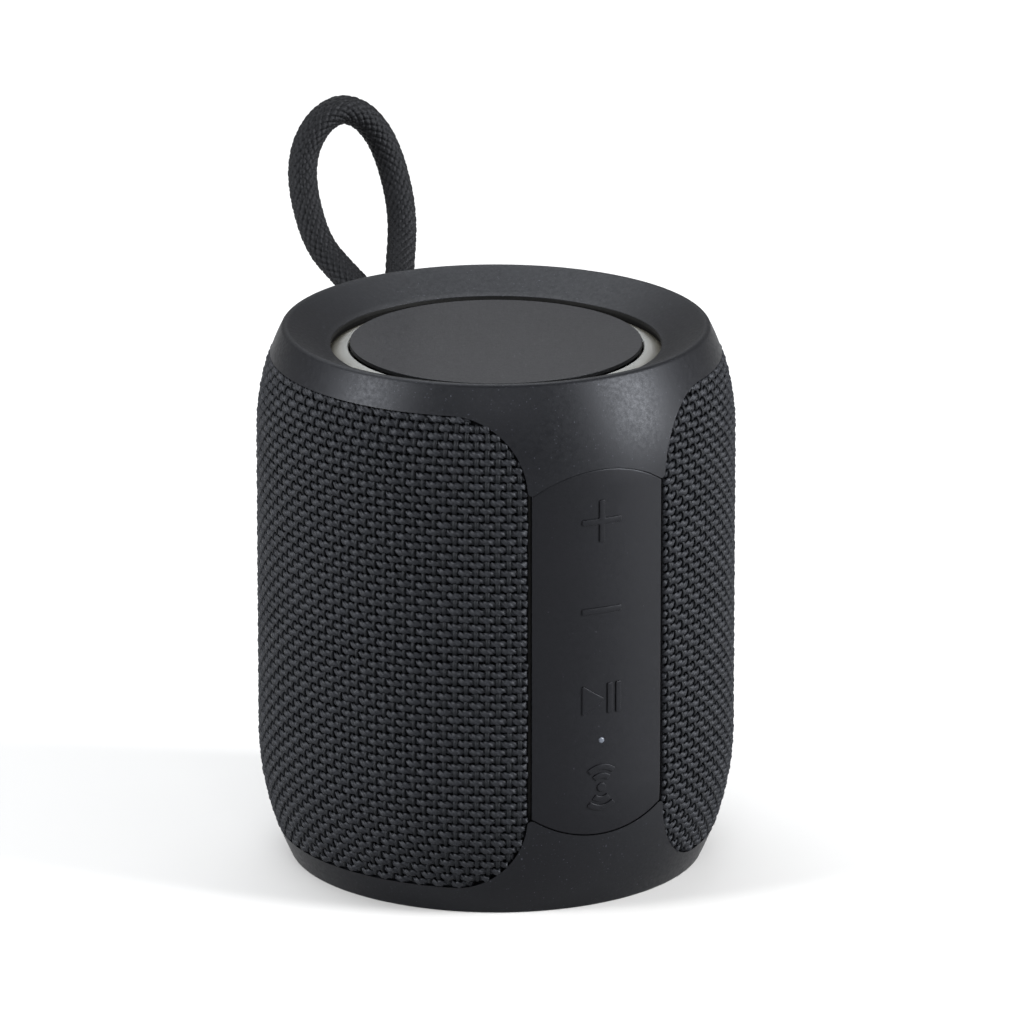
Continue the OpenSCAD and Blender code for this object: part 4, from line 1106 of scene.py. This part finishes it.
def icon_piece(i):
    """A key's raised symbol, with rounded edges."""
    icon = Sheets()

    def on_key(flat, depth):
        return on_barrel(HALF_TURN - flat[:, 0], KEY_ZS[i] + flat[:, 1], depth)

    for outline in icon_outlines(i):
        line = divided(outline, 0.4)
        line = line[np.concatenate([[True], np.linalg.norm(np.diff(line, axis=0), axis=1) > 0.01])]
        normals = normals_of(line, True)
        rings, depths = [line, line], [PAD_DEPTH + 0.3, ICON_TOP + ICON_ROLL]
        for k in range(1, 5):
            a = math.pi / 2 * k / 4
            rings.append(line + normals * ICON_ROLL * (1 - math.cos(a)))
            depths.append(ICON_TOP + ICON_ROLL * (1 - math.sin(a)))
        icon.add_rings([on_key(ring, depth) for ring, depth in zip(rings, depths)])
        top = rings[-1]
        x, y = np.meshgrid(np.arange(-4.5, 4.6, 0.45), np.arange(-4.5, 4.6, 0.45))
        places, faces = filled([top], [(top, True)], np.column_stack([x.ravel(), y.ravel()]), 0.2)
        icon.add(on_key(places, depths[-1]), faces)
        back, back_faces = filled([line], [(line, True)], np.zeros((0, 2)), 0.2)
        icon.add(on_key(back, depths[0]), back_faces)
    made = icon.make("symbol_" + KEYS[i], "key_rubber", sharp=60)
    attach(made, KEYS[i] + "_key")
    return made


def button_pad():
    """The soft pad, in two pieces for each key, and the symbols on it."""
    borders = [None, *((a + b) / 2 for a, b in zip(KEY_ZS, KEY_ZS[1:])), None]
    for i, (key, z) in enumerate(zip(KEYS, KEY_ZS)):
        upper = pad_piece(f"pad_{key}_upper", z, borders[i])
        pad_piece(f"pad_{key}_lower", borders[i + 1], z)
        if i == 0:
            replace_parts(upper, "button_pad")
        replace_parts(icon_piece(i), "key_" + key)


def status_lens():
    """The small pale dome over the status light."""
    rings = [(0.57, 0.9), (0.57, 0.13), (0.53, 0.06), (0.44, 0.0), (0.30, -0.045), (0.15, -0.065)]
    around = 28
    angle = np.linspace(0, 2 * math.pi, around, endpoint=False)
    points = [on_barrel(HALF_TURN - r * np.cos(angle), STATUS_Z + r * np.sin(angle), d)
              for r, d in rings]
    points.append(on_barrel(np.array([HALF_TURN]), np.array([STATUS_Z]), -0.07))
    faces = [list(f) for f in grid_faces(len(rings), around, closed=True)]
    top, last = len(rings) * around, (len(rings) - 1) * around
    faces += [[last + k, last + (k + 1) % around, top] for k in range(around)]
    faces.append(list(range(around))[::-1])
    made = make_object("status_lens", np.vstack(points), faces, "milky_plastic", 50, LENS_PLASTIC)
    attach(made, "root")
    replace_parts(made, "status_light_pipe")


button_pad()
status_lens()

# ---- stage

FLOOR_GREY = (0.47, 0.47, 0.47)
WORLD_STRENGTH = 0.36


def make_floor():
    """A plain pale floor."""
    mesh = bpy.data.meshes.new("floor")
    far = 12.0
    mesh.from_pydata([(-far, -far, 0), (far, -far, 0), (far, far, 0), (-far, far, 0)], [],
                     [(0, 1, 2, 3)])
    mesh.materials.append(new_material("floor", FLOOR_GREY, 0.8, specular=0.05))
    floor = bpy.data.objects.new("floor", mesh)
    bpy.context.scene.collection.objects.link(floor)


def area_light(name, place, target, size, power, colour=(1, 1, 1)):
    data = bpy.data.lights.new(name, "AREA")
    data.shape = "RECTANGLE"
    data.size, data.size_y = size
    data.energy = power
    data.color = colour
    made = bpy.data.objects.new(name, data)
    made.location = place
    made.rotation_euler = (Vector(target) - Vector(place)).to_track_quat("-Z", "Y").to_euler()
    bpy.context.scene.collection.objects.link(made)


def make_lights():
    """Soft light from above, a fill from the front, and a strip on either side."""
    middle = (0, 0, 0.06)
    area_light("overhead", (0.0, 0.55, 1.15), middle, (1.4, 0.9), 18, (0.96, 0.98, 1))
    area_light("front_fill", (-0.62, -1.28, 1.0), middle, (0.9, 0.4), 9)
    area_light("right_strip", (0.85, -0.77, 0.48), middle, (0.42, 0.85), 46)
    area_light("left_strip", (-1.12, 0.10, 0.48), middle, (0.36, 0.85), 29)
    world = bpy.data.worlds.new("studio")
    world.use_nodes = True
    background = world.node_tree.nodes["Background"]
    background.inputs["Color"].default_value = (1, 1, 1, 1)
    background.inputs["Strength"].default_value = WORLD_STRENGTH
    bpy.context.scene.world = world


make_floor()
make_lights()
bpy.context.scene.view_settings.view_transform = "Standard"
